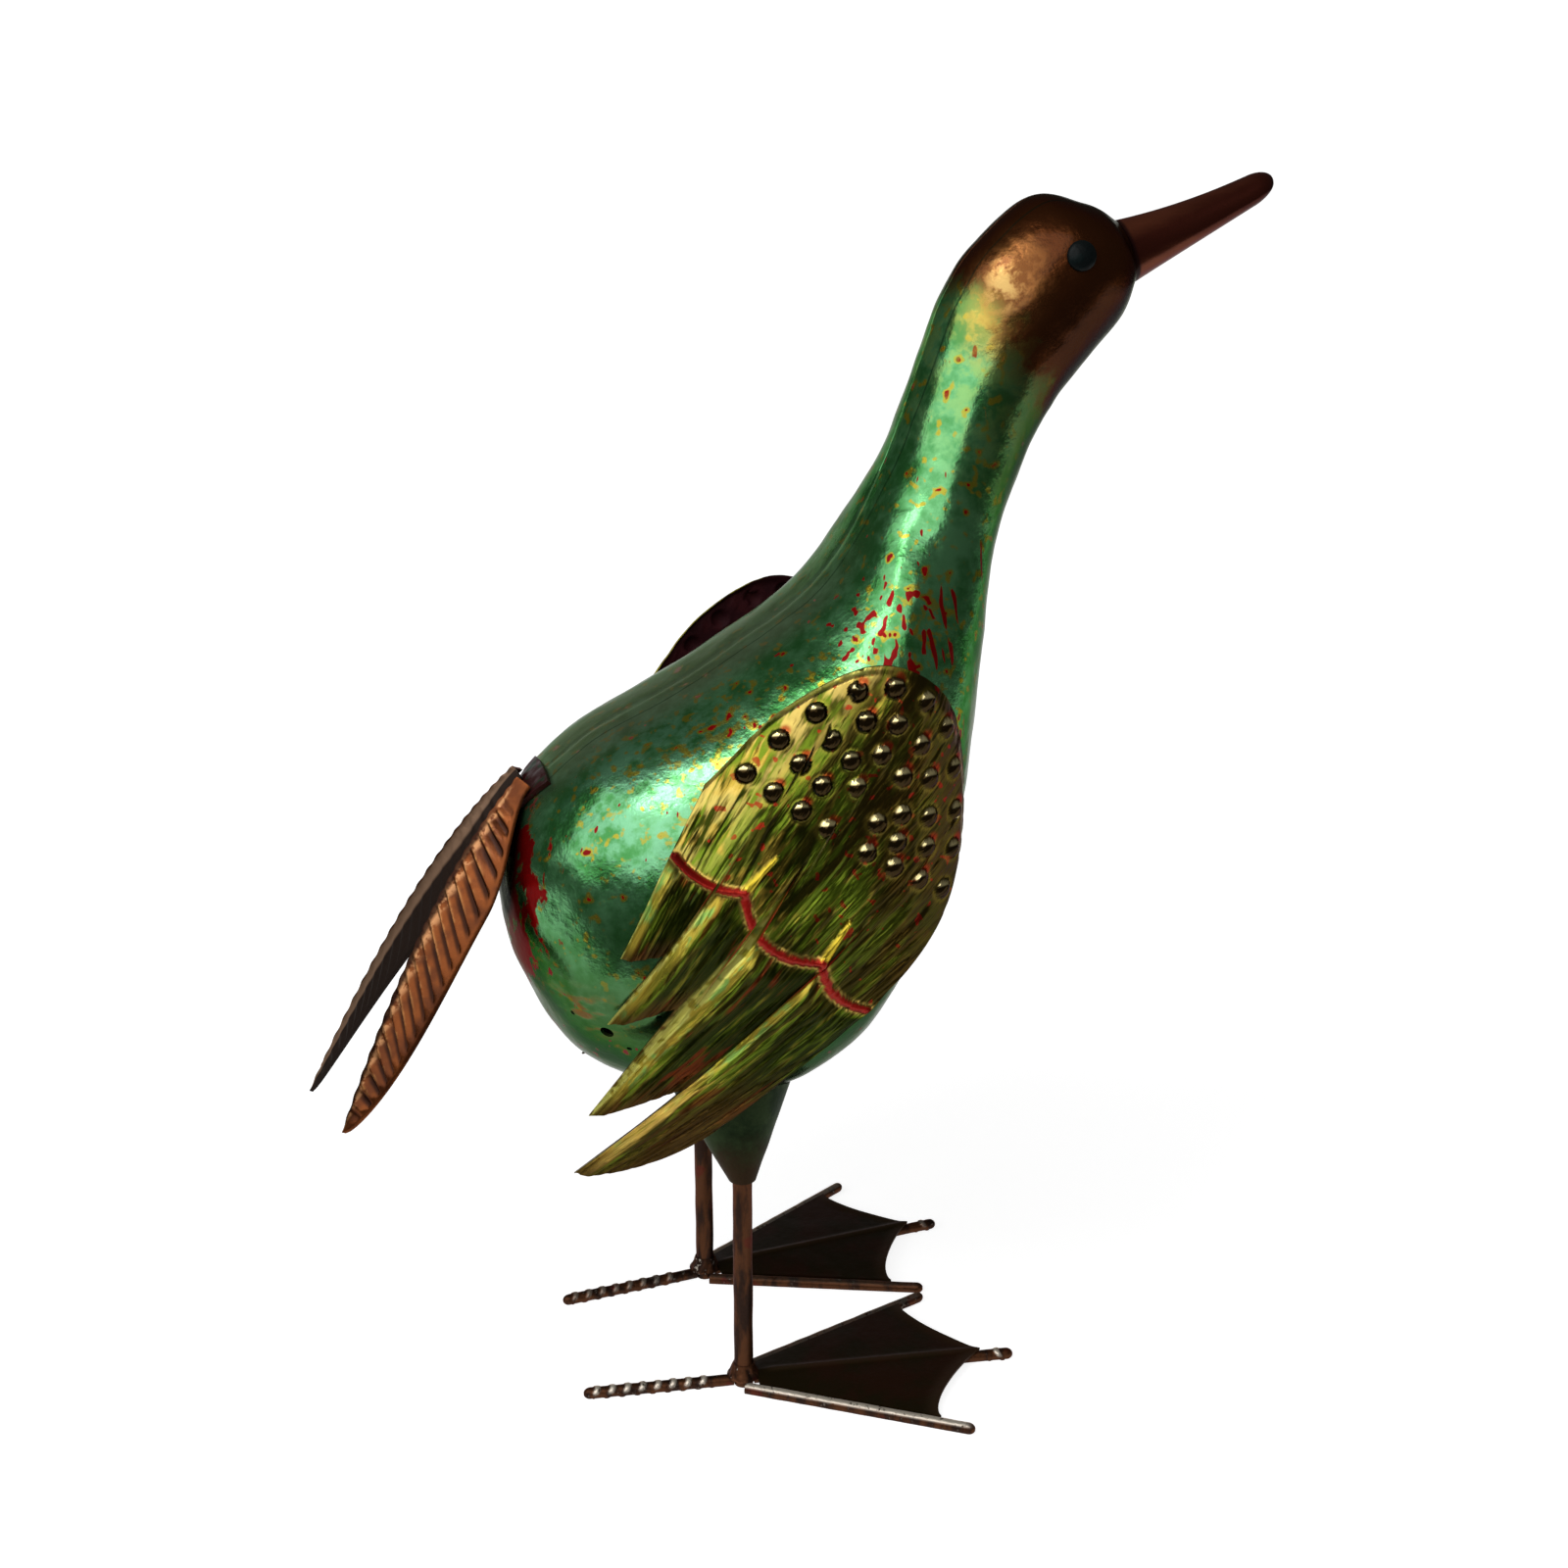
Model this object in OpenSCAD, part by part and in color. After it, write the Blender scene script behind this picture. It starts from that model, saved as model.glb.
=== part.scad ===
// Standing duck statue of painted sheet metal on two welded rod feet.
// Millimetres, +Z up, bill toward +X, ground at Z = 0, origin under the middle of the length.

/* [Body] */
// Height of the belly's lowest point above the ground
belly_height = 102; // [85:1:125]
// Thickness of the pressed sheet
sheet_wall = 1.2; // [0.8:0.1:2]
// Squareness of the back's cross section, where 2 is an ellipse
body_fullness = 2.4; // [2:0.1:2.8]
// Diameter of the large vent hole in the belly
vent_diameter = 4.6; // [2:0.2:7]
// Diameter of the small vent holes round it
pin_vent_diameter = 1.8; // [1:0.2:3]

/* [Body outline] */
// Rear end: back x and z, belly x and z, from the leg line and the belly's lowest point
rear_line = [-73, 89.5, -73, 88.5]; // [-120:0.5:320]
// Stern outline in the same four measures
stern_line = [-67.5, 105, -72.5, 72]; // [-120:0.5:320]
// Rump outline
rump_line = [-57.5, 117, -68.5, 53.5]; // [-120:0.5:320]
// Loin outline
loin_line = [-40, 130.5, -53.5, 25]; // [-120:0.5:320]
// Hip outline
hip_line = [-12, 144.5, -28, 8]; // [-120:0.5:320]
// Middle outline
middle_line = [11, 158.5, 8, 0]; // [-120:0.5:320]
// Shoulder outline
shoulder_line = [29.5, 171, 40, 13]; // [-120:0.5:320]
// Breast outline
breast_line = [41, 183.5, 64.5, 46.5]; // [-120:0.5:320]
// Crop outline
crop_line = [50, 198.5, 79.5, 88]; // [-120:0.5:320]
// Neck root outline
neck_root_line = [57.5, 214, 87.5, 138]; // [-120:0.5:320]
// Lower neck outline
neck_low_line = [63.5, 229, 93.5, 183]; // [-120:0.5:320]
// Middle neck outline
neck_mid_line = [70.5, 249.5, 104, 212.5]; // [-120:0.5:320]
// Upper neck outline
neck_top_line = [77, 266.5, 113, 229.5]; // [-120:0.5:320]
// Nape outline
nape_line = [87, 281, 125, 244.5]; // [-120:0.5:320]
// Crown outline
crown_line = [105, 295, 136, 257.5]; // [-120:0.5:320]
// Brow outline
brow_line = [122, 293, 139, 266]; // [-120:0.5:320]
// Bill root outline
bill_root_line = [133, 287.5, 139, 267]; // [-120:0.5:320]

/* [Body widths] */
// Width across the stern
stern_width = 44; // [36:1:52]
// Width across the rump
rump_width = 74; // [64:1:84]
// Width across the loin
loin_width = 108; // [98:1:116]
// Width across the hips
hip_width = 126; // [118:1:132]
// Greatest width, across the middle
middle_width = 132; // [126:1:138]
// Width across the shoulders
shoulder_width = 130; // [124:1:136]
// Width across the breast
breast_width = 116; // [108:1:124]
// Width across the crop
crop_width = 94; // [86:1:102]
// Width across the neck root
neck_root_width = 72; // [64:1:80]
// Width across the lower neck
neck_low_width = 54; // [48:1:60]
// Width across the middle neck
neck_mid_width = 45; // [40:1:50]
// Width across the upper neck
neck_top_width = 44; // [39:1:49]
// Width across the nape
nape_width = 47; // [42:1:52]
// Width across the crown
crown_width = 45; // [40:1:50]
// Width across the brow
brow_width = 36; // [31:1:41]
// Width across the bill root
bill_root_width = 24; // [20:1:28]

/* [Bill] */
// Length of the bill ahead of the head
bill_length = 55; // [45:1:65]
// Rise of the bill tip above the middle of the bill root
bill_rise = 22.5; // [12:0.5:28]
// Height of the bill at its blunt tip
bill_tip_height = 9.5; // [6:0.5:11]
// Width of the bill at its blunt tip
bill_tip_width = 13; // [9:0.5:17]
// Dip of the bill's top line
bill_dip = 2; // [0:0.5:4]
// Share of the bill's height taken by the lower half
bill_split = 0.38; // [0.3:0.02:0.46]

/* [Eyes] */
// Eye diameter
eye_diameter = 9.5; // [7:0.5:11]
// How far the eye stands out of the head
eye_bulge = 2.4; // [1.5:0.1:3.5]

/* [Wings] */
// Distance of the wing sheet from the middle plane
wing_offset = 65; // [63:0.5:69]
// Bend radius of the wing toward the tail
wing_rear_bend = 180; // [140:5:260]
// Bend radius of the wing round the breast
wing_front_bend = 32; // [28:1:44]
// Gap left between wing sheet and body
wing_gap = 0.3; // [0.1:0.1:0.8]
// Thickness of the wing sheet
wing_wall = 1; // [0.7:0.1:1.6]
// Rear corner of the wing's rounded edge: x and height over the belly
wing_rear = [-17, 129]; // [-80:0.5:180]
// Edge point between rear corner and top
wing_rise = [8, 152.5]; // [-80:0.5:180]
// Top of the wing
wing_top = [38, 163]; // [-80:0.5:180]
// Edge point between top and front
wing_brow = [61.5, 147.5]; // [-80:0.5:180]
// Front of the wing
wing_front = [69, 114]; // [-80:0.5:180]
// Edge point under the front
wing_chest = [63, 83]; // [-80:0.5:180]
// Lower end of the rounded edge
wing_low = [35, 51]; // [-80:0.5:180]
// Tip of the first feather
tip_one = [-43, 74]; // [-80:0.5:180]
// Tip of the second feather
tip_two = [-47, 50.5]; // [-80:0.5:180]
// Tip of the third feather
tip_three = [-53.5, 18]; // [-80:0.5:180]
// Tip of the fourth feather
tip_four = [-58.5, -3]; // [-80:0.5:180]
// Notch behind the first feather
notch_one = [-30.5, 75]; // [-80:0.5:180]
// Notch behind the second feather
notch_two = [-27, 57]; // [-80:0.5:180]
// Notch behind the third feather
notch_three = [-22.5, 29]; // [-80:0.5:180]
// Lower corner of the fourth feather
notch_four = [-5.5, 21]; // [-80:0.5:180]
// Bulge of the fourth feather's lower edge
fourth_bulge = 4.5; // [0:0.5:7]
// Height of the crest along each feather
feather_ridge = 1.6; // [0.4:0.2:2.4]
// Share of each feather's width above its crest
feather_crest = 0.25; // [0.1:0.05:0.4]
// Forward turn of the left wing about its top, in degrees
left_wing_turn = 6.5; // [0:0.5:9]

/* [Wing pattern] */
// Diameter of the embossed dots
dot_diameter = 6; // [4:0.2:7]
// Height of the embossed dots
dot_height = 1.6; // [0.8:0.1:2.4]
// Distance between the rows of dots
dot_pitch = 10.5; // [8:0.5:12]
// Thickness of the scalloped bead
bead_thickness = 2.2; // [1.4:0.2:3]
// Height of the scalloped bead
bead_height = 1.2; // [0.6:0.1:2]
// Start of the bead at the rear edge
bead_start = [-26, 107]; // [-80:0.5:180]
// First cusp of the bead
bead_cusp_one = [-6, 95]; // [-80:0.5:180]
// Second cusp of the bead
bead_cusp_two = [18, 70]; // [-80:0.5:180]
// End of the bead at the lower edge
bead_end = [33, 51.5]; // [-80:0.5:180]

/* [Tail] */
// Tip of the right tail feather: x, y and height over the belly
tail_tip_right = [-129, -27, 10]; // [-160:1:60]
// Tip of the left tail feather
tail_tip_left = [-138, 27, -1]; // [-160:1:60]
// Length over which the tail feathers leave the back
tail_start = 45; // [35:1:55]
// Downward slope where the tail feathers leave the back, in degrees
tail_droop = 44; // [36:1:50]
// Width of each half of a tail feather
tail_vane = 17.5; // [13:0.5:21]
// Fold of each half back from the middle rib, in degrees
tail_fold = 45; // [30:1:55]
// Number of barbs along each tail feather
tail_barbs = 18; // [10:1:22]
// Depth of the grooves between barbs
barb_depth = 0.5; // [0.2:0.1:0.8]

/* [Legs] */
// Distance between the two legs
leg_spacing = 70; // [62:1:78]
// How far the left foot stands ahead of the right
stride = 2; // [0:0.5:8]
// Leg rod diameter
leg_diameter = 7; // [5.5:0.5:8.5]
// How far the thigh cone reaches below the belly
thigh_drop = 21; // [15:1:32]
// Length of the thigh's mouth on the belly, along the body
thigh_length = 41; // [32:1:48]
// Sheet thickness of the thigh cone
thigh_wall = 1.2; // [0.8:0.1:1.8]

/* [Feet] */
// Toe rod diameter
toe_diameter = 4; // [3.4:0.2:5.2]
// Length of the middle toe from the leg line
middle_toe = 97; // [85:1:108]
// Length of the side toes
side_toe = 81; // [72:1:90]
// Length of the back toe from the leg line
back_toe = 56; // [45:1:66]
// Angle between middle toe and side toes
toe_angle = 25.5; // [22:0.5:30]
// Outward turn of each foot, in degrees
foot_turn = 6; // [0:1:10]
// Flat ground on the underside of the rods
ground_flat = 0.5; // [0.3:0.1:0.8]
// Height of the raised rings on the ribbed rods
rib_height = 0.4; // [0.2:0.1:0.7]
// Distance between the raised rings
rib_pitch = 5.3; // [4:0.1:8]
// Thickness of the web sheet
web_wall = 0.9; // [0.6:0.1:1.4]
// Reach of the web along the middle toe
web_reach = 85; // [74:1:90]
// Reach of the web along the side toes
web_side_reach = 69; // [58:1:71]
// Depth of the scallops in the web's front edge
web_scallop = 4; // [1:0.5:8]

/* [Hidden] */
origin_x = 25;
leg_radius = leg_diameter / 2;
toe_radius = toe_diameter / 2;
toe_z = toe_radius - ground_flat;
toe_top = toe_z + toe_radius;
ring_steps = 2;
half_ring_steps = 12;
seam = 0.3;
snug = 0.05;

// Body stations: back x, back z, belly x, belly z, half width, squareness
lines = [rear_line, stern_line, rump_line, loin_line, hip_line, middle_line, shoulder_line, breast_line,
  crop_line, neck_root_line, neck_low_line, neck_mid_line, neck_top_line, nape_line, crown_line,
  brow_line, bill_root_line];
widths = [1, stern_width, rump_width, loin_width, hip_width, middle_width, shoulder_width, breast_width,
  crop_width, neck_root_width, neck_low_width, neck_mid_width, neck_top_width, nape_width, crown_width,
  brow_width, bill_root_width];
last_station = len(lines) - 1;
stations = [for (i = [0 : last_station]) concat(lines[i] + [0, belly_height, 0, belly_height],
  [widths[i] / 2, i < 2 || i > 8 ? 2 : body_fullness])];

// Curve through a list of points, u counting the points
function held(list, i) = i < 0 ? 2 * list[0] - list[1]
  : i > len(list) - 1 ? 2 * list[len(list) - 1] - list[len(list) - 2] : list[i];
function blend4(a, b, c, d, f) = 0.5 * (2 * b + (c - a) * f + (2 * a - 5 * b + 4 * c - d) * f * f
  + (3 * b - a - 3 * c + d) * f * f * f);
function curve(list, u) = let (i = max(0, min(floor(u), len(list) - 2)))
  blend4(held(list, i - 1), held(list, i), held(list, i + 1), held(list, i + 2), u - i);

function unit(v) = v / norm(v);
function mixed(a, b, f) = a + (b - a) * f;
function eased(a, b, x) = let (f = max(0, min(1, (x - a) / (b - a)))) f * f * (3 - 2 * f);
function raised(a, b, k) = (a + b + sqrt((a - b) * (a - b) + k * k)) / 2;

// Body surface on the right side: angle 0 on the back, 180 on the belly
function body_at(u, angle) = let (s = curve(stations, u), c = cos(angle), t = abs(sin(angle)),
    e = c > 0 ? 2 / s[5] : 1, f = (1 - sign(c) * pow(abs(c), e)) / 2)
  [s[0] + (s[2] - s[0]) * f, -sign(sin(angle)) * s[4] * pow(t, e), s[1] + (s[3] - s[1]) * f];
function body_normal(u, angle) = let (a = max(0.02, min(last_station - 0.02, u)),
    b = max(2, min(178, abs(angle))) * (angle < 0 ? -1 : 1),
    n = unit(cross(body_at(a, b + 2) - body_at(a, b - 2), body_at(a + 0.02, b) - body_at(a - 0.02, b))))
  abs(angle) < 1 || abs(angle) > 179 ? unit([n.x, 0, n.z]) : n;
function body_out(u, angle, d) = body_at(u, angle) + d * body_normal(u, angle);

// Half width of the body where a sideways line at x, z meets it
function ahead(u, x, z) = let (s = curve(stations, u))
  (s[2] - s[0]) * (z - s[1]) - (s[3] - s[1]) * (x - s[0]);
function station_of(x, z, a, b, n) = let (m = (a + b) / 2) n == 0 ? m
  : ahead(m, x, z) > 0 ? station_of(x, z, m, b, n - 1) : station_of(x, z, a, m, n - 1);
function half_width(x, z) = let (s = curve(stations, station_of(x, z, 0, last_station, 13)),
    d = [s[2] - s[0], s[3] - s[1]], f = ([x - s[0], z - s[1]] * d) / (d * d), a = abs(1 - 2 * f),
    n = f < 0.5 ? s[5] : 2)
  a >= 1 ? 0 : s[4] * pow(1 - pow(a, n), 1 / n);

// Closed solid between two equal grids of points; wrapped grids join their last column to the first
module sheet(outer, inner, wrapped = false) {
  rows = len(outer);
  cols = len(outer[0]);
  n = rows * cols;
  last = wrapped ? cols - 1 : cols - 2;
  points = concat([for (r = outer) each r], [for (r = inner) each r]);
  face = [for (i = [0 : rows - 2]) for (j = [0 : last]) let (k = (j + 1) % cols,
      a = i * cols + j, b = i * cols + k, c = (i + 1) * cols + k, d = (i + 1) * cols + j)
    each [[a, b, c], [a, c, d], [n + a, n + c, n + b], [n + a, n + d, n + c]]];
  ends = [for (j = [0 : last]) let (k = (j + 1) % cols, m = (rows - 1) * cols)
    each [[j, n + k, k], [j, n + j, n + k], [m + j, m + k, n + m + k], [m + j, n + m + k, n + m + j]]];
  sides = wrapped ? [] : [for (i = [0 : rows - 2]) let (a = i * cols, b = a + cols, c = b - 1, d = c + cols)
    each [[a, b, n + b], [a, n + b, n + a], [c, n + d, d], [c, n + c, n + d]]];
  polyhedron(points, concat(face, ends, sides), convexity = 10);
}

module placed(left = false) {
  translate([-origin_x, 0, 0]) mirror([0, left ? 1 : 0, 0]) children();
}

// Frame whose Z axis points along n, with X kept level
module aimed(p, n) {
  x = unit(cross([0, 1, 0.001], n));
  y = cross(n, x);
  multmatrix([[x.x, y.x, n.x, p.x], [x.y, y.y, n.y, p.y], [x.z, y.z, n.z, p.z], [0, 0, 0, 1]]) children();
}

// Body
rings = last_station * ring_steps;
module body_half() {
  turns = [for (j = [0 : half_ring_steps]) 180 - 180 * j / half_ring_steps];
  sheet([for (i = [0 : rings]) [for (a = turns) body_at(i / ring_steps, a)]],
    [for (i = [0 : rings]) [for (a = turns) body_out(i / ring_steps, a, -sheet_wall)]]);
}

drill_length = 8;
module vent(u, angle, d) {
  aimed(body_at(u, angle), body_normal(u, angle)) cylinder(d = d, h = drill_length, center = true, $fn = 24);
}

// Vents: body station and angle
large_vent = [3.2, 126];
small_vents = [[2.75, 130], [3.5, 130], [3.7, 112]];
module body_shell_right() color("seagreen") placed() difference() {
  body_half();
  vent(large_vent[0], large_vent[1], vent_diameter);
  for (v = small_vents) vent(v[0], v[1], pin_vent_diameter);
}

module body_shell_left() color("seagreen") placed(true) body_half();

// Bill
root_top = [bill_root_line[0], bill_root_line[1] + belly_height];
root_low = [bill_root_line[2], bill_root_line[3] + belly_height];
root_ahead = unit([root_top.y - root_low.y, root_low.x - root_top.x]);
tip_mid = (root_top + root_low) / 2 + [bill_length - bill_tip_height / 4, bill_rise];
function bill_top(s) = mixed(root_top + seam * root_ahead, tip_mid + [0, bill_tip_height / 2], s)
  - [0, bill_dip * 4 * s * (1 - s)];
function bill_low(s) = mixed(root_low + seam * root_ahead, tip_mid - [0, bill_tip_height / 2], s);
bill_nose = 0.86;
function bill_round(s) = s < bill_nose ? 1 : sqrt(max(0.02, 1 - pow((s - bill_nose) / (1 - bill_nose), 2)));
function bill_half(s) = mixed(bill_root_width, bill_tip_width, sqrt(s)) / 2 * bill_round(s);
function bill_at(s, angle, share, cut) = let (t = bill_top(s), b = bill_low(s), m = mixed(b, t, bill_split),
    e = mixed(m, share > 0 ? t : b, bill_round(s)), k = max(0.2, 1 - cut / norm(e - m)),
    w = max(0.3, bill_half(s) - cut), p = m + (e - m) * sin(angle) * k)
  [p.x, w * cos(angle) * (share > 0 ? -1 : 1), p.y];
bill_rows = [0, 0.15, 0.3, 0.5, 0.7, 0.85, 0.91, 0.96, 1];

module bill_half_shell(share) {
  turns = [for (j = [0 : 10]) 18 * j];
  sheet([for (s = bill_rows) [for (a = turns) bill_at(s, a, share, 0)]],
    [for (s = bill_rows) [for (a = turns) bill_at(s * 0.98, a, share, sheet_wall)]]);
}

module bill_upper() color("sienna") placed() bill_half_shell(1);
module bill_lower() color("saddlebrown") placed() bill_half_shell(-1);

// Eyes: round caps seated on the sides of the head
eye_station = 13.75;
eye_angle = 77;
eye_radius = (eye_diameter * eye_diameter / 4 + eye_bulge * eye_bulge) / (2 * eye_bulge);
module eye() {
  aimed(body_out(eye_station, eye_angle, 0.1), body_normal(eye_station, eye_angle)) intersection() {
    translate([0, 0, eye_bulge - eye_radius]) sphere(eye_radius, $fn = 32);
    cylinder(d = eye_diameter, h = eye_bulge + 1, $fn = 32);
  }
}

module eye_right() color("darkslategray") placed() eye();
module eye_left() color("darkslategray") placed(true) eye();

// Wing plan: rounded edge points, feather tips and notches as x and height over the belly
wing_edge = [wing_rear, wing_rise, wing_top, wing_brow, wing_front, wing_chest, wing_low];
wing_tips = [tip_one, tip_two, tip_three, tip_four];
wing_notches = [notch_one, notch_two, notch_three, notch_four];
feather_starts = [0, 1.85, 2.8, 4, 6];
feather_slit = 0.07;
function edge_at(s) = curve(wing_edge, s);
function end_at(k, f) = let (d = unit(wing_notches[k] - wing_tips[k]))
  mixed(wing_tips[k], wing_notches[k], f) + (k == 3 ? 4 * fourth_bulge * f * (1 - f) : 0) * [d.y, -d.x];
function plan_at(k, f, t) = let (last = feather_starts[k + 1] - (k < 3 ? feather_slit : 0))
  mixed(edge_at(mixed(feather_starts[k], last, f)), end_at(k, f), t);

// Wing sheet: inner face distance from the middle plane at x and height over the belly, level
// between wing_level and wing_turn, bent inward behind and ahead of them
level_lead = 10;
wing_level = (wing_top.x + wing_rear.x) / 2 + level_lead;
wing_turn = wing_top.x + 2;
wing_blend = 2.5;
function wing_own(x) = x < wing_level ? wing_offset - pow(x - wing_level, 2) / (2 * wing_rear_bend)
  : x > wing_turn ? wing_offset - pow(x - wing_turn, 2) / (2 * wing_front_bend) : wing_offset;
function wing_in(p) = raised(wing_own(p.x), half_width(p.x, p.y + belly_height) + wing_gap, wing_blend);
function wing_normal(p) = unit([(wing_in(p - [1, 0]) - wing_in(p + [1, 0])) / 2, -1,
  (wing_in(p - [0, 1]) - wing_in(p + [0, 1])) / 2]);
function wing_point(p, lift) = [p.x, -wing_in(p) - lift, p.y + belly_height];

// Feather crests rise from ridge_starts, as shares of the way to the tip; the last one widens toward its tip
ridge_starts = [0.42, 0.6, 0.55, 0.42];
ridge_heights = [0, 1, 0.45, 0];
function crest_at(k, t) = k < 3 ? feather_crest : mixed(0.07, 0.42, eased(0.6, 0.85, t));
function share_at(k, j, t) = let (c = crest_at(k, t)) [0, c, (1 + c) / 2, 1][j];
ridge_run = 0.2;
function ridge_at(k, j, t) = feather_ridge * ridge_heights[j]
  * eased(ridge_starts[k], ridge_starts[k] + ridge_run, t);
wing_rows = 20;
function turned(p, turn) = let (d = p - wing_top)
  wing_top + [d.x * cos(turn) - d.y * sin(turn), d.x * sin(turn) + d.y * cos(turn)];
function wing_row(t, lift, turn) = [for (k = [0 : 3]) for (j = [0 : 3])
  wing_point(turned(plan_at(k, share_at(k, j, t), t), turn), lift + ridge_at(k, j, t))];

// Dots stand in rows that follow the rounded edge from first_dot to last_dot, toward dot_centre
dot_rows = [11, 10, 8, 4];
dot_centre = [27, 108];
dot_margin = 6;
first_dot = 0.3;
last_dot = 4.95;
sunk = 0.4;
module dot(p) {
  aimed(wing_point(p, wing_wall), wing_normal(p)) hull() {
    translate([0, 0, -sunk]) cylinder(d = dot_diameter, h = sunk, $fn = 12);
    cylinder(d = dot_diameter * 0.8, h = dot_height * 0.6, $fn = 12);
    cylinder(d = dot_diameter * 0.4, h = dot_height, $fn = 12);
  }
}

// Points of one scallop of the bead, sagging toward the feather tips
function scallop(a, b, sag) = let (d = unit(b - a)) [for (i = [0 : 5]) let (f = i / 6)
  mixed(a, b, f) + 4 * sag * f * (1 - f) * [d.y, -d.x]];
bead_sags = [3, 7.5, 4];
bead_line = concat(scallop(bead_start, bead_cusp_one, bead_sags[0]),
  scallop(bead_cusp_one, bead_cusp_two, bead_sags[1]), scallop(bead_cusp_two, bead_end, bead_sags[2]),
  [bead_end]);

// Strokes that run on from the cusps, away from the feathers
cusp_strokes = [[bead_cusp_one, bead_cusp_one + [10, 10.5]], [bead_cusp_two, bead_cusp_two + [8.5, 12.5]]];
stroke_width = 3;

// Raised line over the wing sheet, from one width to another
module raised_line(line, first, last, height) {
  n = len(line) - 1;
  function run(i) = unit(line[min(i + 1, n)] - line[max(i - 1, 0)]);
  function side_of(i, k) = line[i] + k * mixed(first, last, i / n) / 2 * [-run(i).y, run(i).x];
  function crest(i, k, d) = wing_point(side_of(i, k), wing_wall + d);
  sheet([for (i = [0 : n]) [crest(i, -1, 0), crest(i, -0.5, height), crest(i, 0.5, height), crest(i, 1, 0)]],
    [for (i = [0 : n]) [for (k = [-1, -0.5, 0.5, 1]) crest(i, k, -sunk)]]);
}

// Wing plate, with its plan turned forward about its top
module wing(turn) {
  function there(line) = [for (p = line) turned(p, turn)];
  steps = [for (i = [0 : wing_rows]) i / wing_rows];
  sheet([for (t = steps) wing_row(t, wing_wall, turn)], [for (t = steps) wing_row(t, 0, turn)]);
  for (row = [0 : len(dot_rows) - 1]) for (i = [0 : dot_rows[row] - 1]) {
    edge = edge_at(mixed(first_dot, last_dot, i / (dot_rows[row] - 1)));
    dot(turned(edge + unit(dot_centre - edge) * (dot_margin + dot_pitch * row), turn));
  }
  raised_line(there(bead_line), bead_thickness, bead_thickness, bead_height);
  for (stroke = cusp_strokes) raised_line(there(stroke), stroke_width, stroke_width / 3, bead_height);
}

module wing_right() color("darkolivegreen") placed() wing(0);
module wing_left() color("darkolivegreen") placed(true) wing(left_wing_turn);

// Tail: strap over the rump that carries both feathers
strap_top = 1.9;
strap_half_angle = 16;
module tail_strap() color("peru") placed() {
  spread = [for (j = [-3 : 3]) -j * strap_half_angle / 3];
  along = [1.3, 1.6, 1.9, 2.1];
  sheet([for (u = along) [for (a = spread) body_out(u, a, strap_top)]],
    [for (u = along) [for (a = spread) body_out(u, a, seam)]]);
}

// One folded feather from its root on the strap to its tip, broad for longer the higher its bluntness
root_share = 0.26;
vane_rise = 0.3;
right_bluntness = 5;
left_bluntness = 1.4;
root_station = 1.7;
root_side = 6;
feather_half_wall = 0.6;
module tail_feather(tip, hand, bluntness) {
  root_lift = strap_top + root_share * tail_vane * sin(tail_fold) + feather_half_wall + 0.2;
  root = [0, root_side * hand, 0] + body_out(root_station, 0, root_lift);
  end = tip + [0, 0, belly_height];
  bend = [root.x - tail_start * cos(tail_droop), mixed(root.y, end.y, 0.45),
    root.z - tail_start * sin(tail_droop)];
  count = 2 * tail_barbs;
  halves = [-1, -0.5, 0, 0.5, 1];
  function rib(s) = (1 - s) * (1 - s) * root + 2 * s * (1 - s) * bend + s * s * end;
  function rib_along(s) = unit((1 - s) * (bend - root) + s * (end - bend));
  function vane(s) = tail_vane * mixed(root_share, 1, eased(0, vane_rise, s))
    * pow(max(0.004, 1 - pow(s, bluntness)), 0.8);
  function groove(i, v, s) = (i % 2 == 0 ? 1 : -1) * barb_depth * min(1, 3 * abs(v)) * eased(0.05, 0.15, s)
    * (1 - eased(0.92, 1, s));
  function leaf(i, v, d) = let (s = i / count, t = min(1, s + 0.1 * abs(v) * (1 - s) * eased(0, 0.2, s)),
      a = rib_along(t), side = unit(cross(a, [-1, 0, 0.6])), n = cross(side, a), w = vane(s))
    rib(t) + side * w * v * cos(tail_fold) - n * w * abs(v) * sin(tail_fold) + n * (groove(i, v, s) + d);
  sheet([for (i = [0 : count]) [for (v = halves) leaf(i, v, -feather_half_wall)]],
    [for (i = [0 : count]) [for (v = halves) leaf(i, v, feather_half_wall)]]);
}

module tail_feather_right() color("chocolate") placed()
  tail_feather(tail_tip_right, -1, right_bluntness);
module tail_feather_left() color("chocolate") placed()
  tail_feather(tail_tip_left, 1, left_bluntness);

// Thigh: cone of sheet from the leg rod up to its mouth on the belly
thigh_height = belly_height - thigh_drop;
thigh_station = 4.78;
thigh_angle = 161;
thigh_span = 15;
module thigh(step) {
  one_station = body_at(thigh_station + 0.5, thigh_angle) - body_at(thigh_station - 0.5, thigh_angle);
  reach = thigh_length / 2 / norm(one_station);
  turns = [for (j = [0 : 17]) j * 20];
  function mouth(a, k) = body_out(thigh_station + reach * k * cos(a),
    thigh_angle - thigh_span * k * sin(a), seam);
  function collar(a, r) = [step + r * cos(a), -leg_spacing / 2 - r * sin(a), thigh_height];
  function wall(i, a, cut) = mixed(collar(a, leg_radius + snug + thigh_wall - cut),
    mouth(a, 1 - 2 * cut / thigh_length), i / 4);
  sheet([for (i = [0 : 4]) [for (a = turns) wall(i, a, 0)]],
    [for (i = [0 : 4]) [for (a = turns) wall(i, a, thigh_wall)]], true);
}

module thigh_right() color("darkseagreen") placed() thigh(0);
module thigh_left() color("darkseagreen") placed(true) thigh(stride);

// Legs and feet stand on the leg line, the left ones a stride ahead
module standing(left = false) {
  placed(left) translate([left ? stride : 0, -leg_spacing / 2, 0]) children();
}

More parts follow.
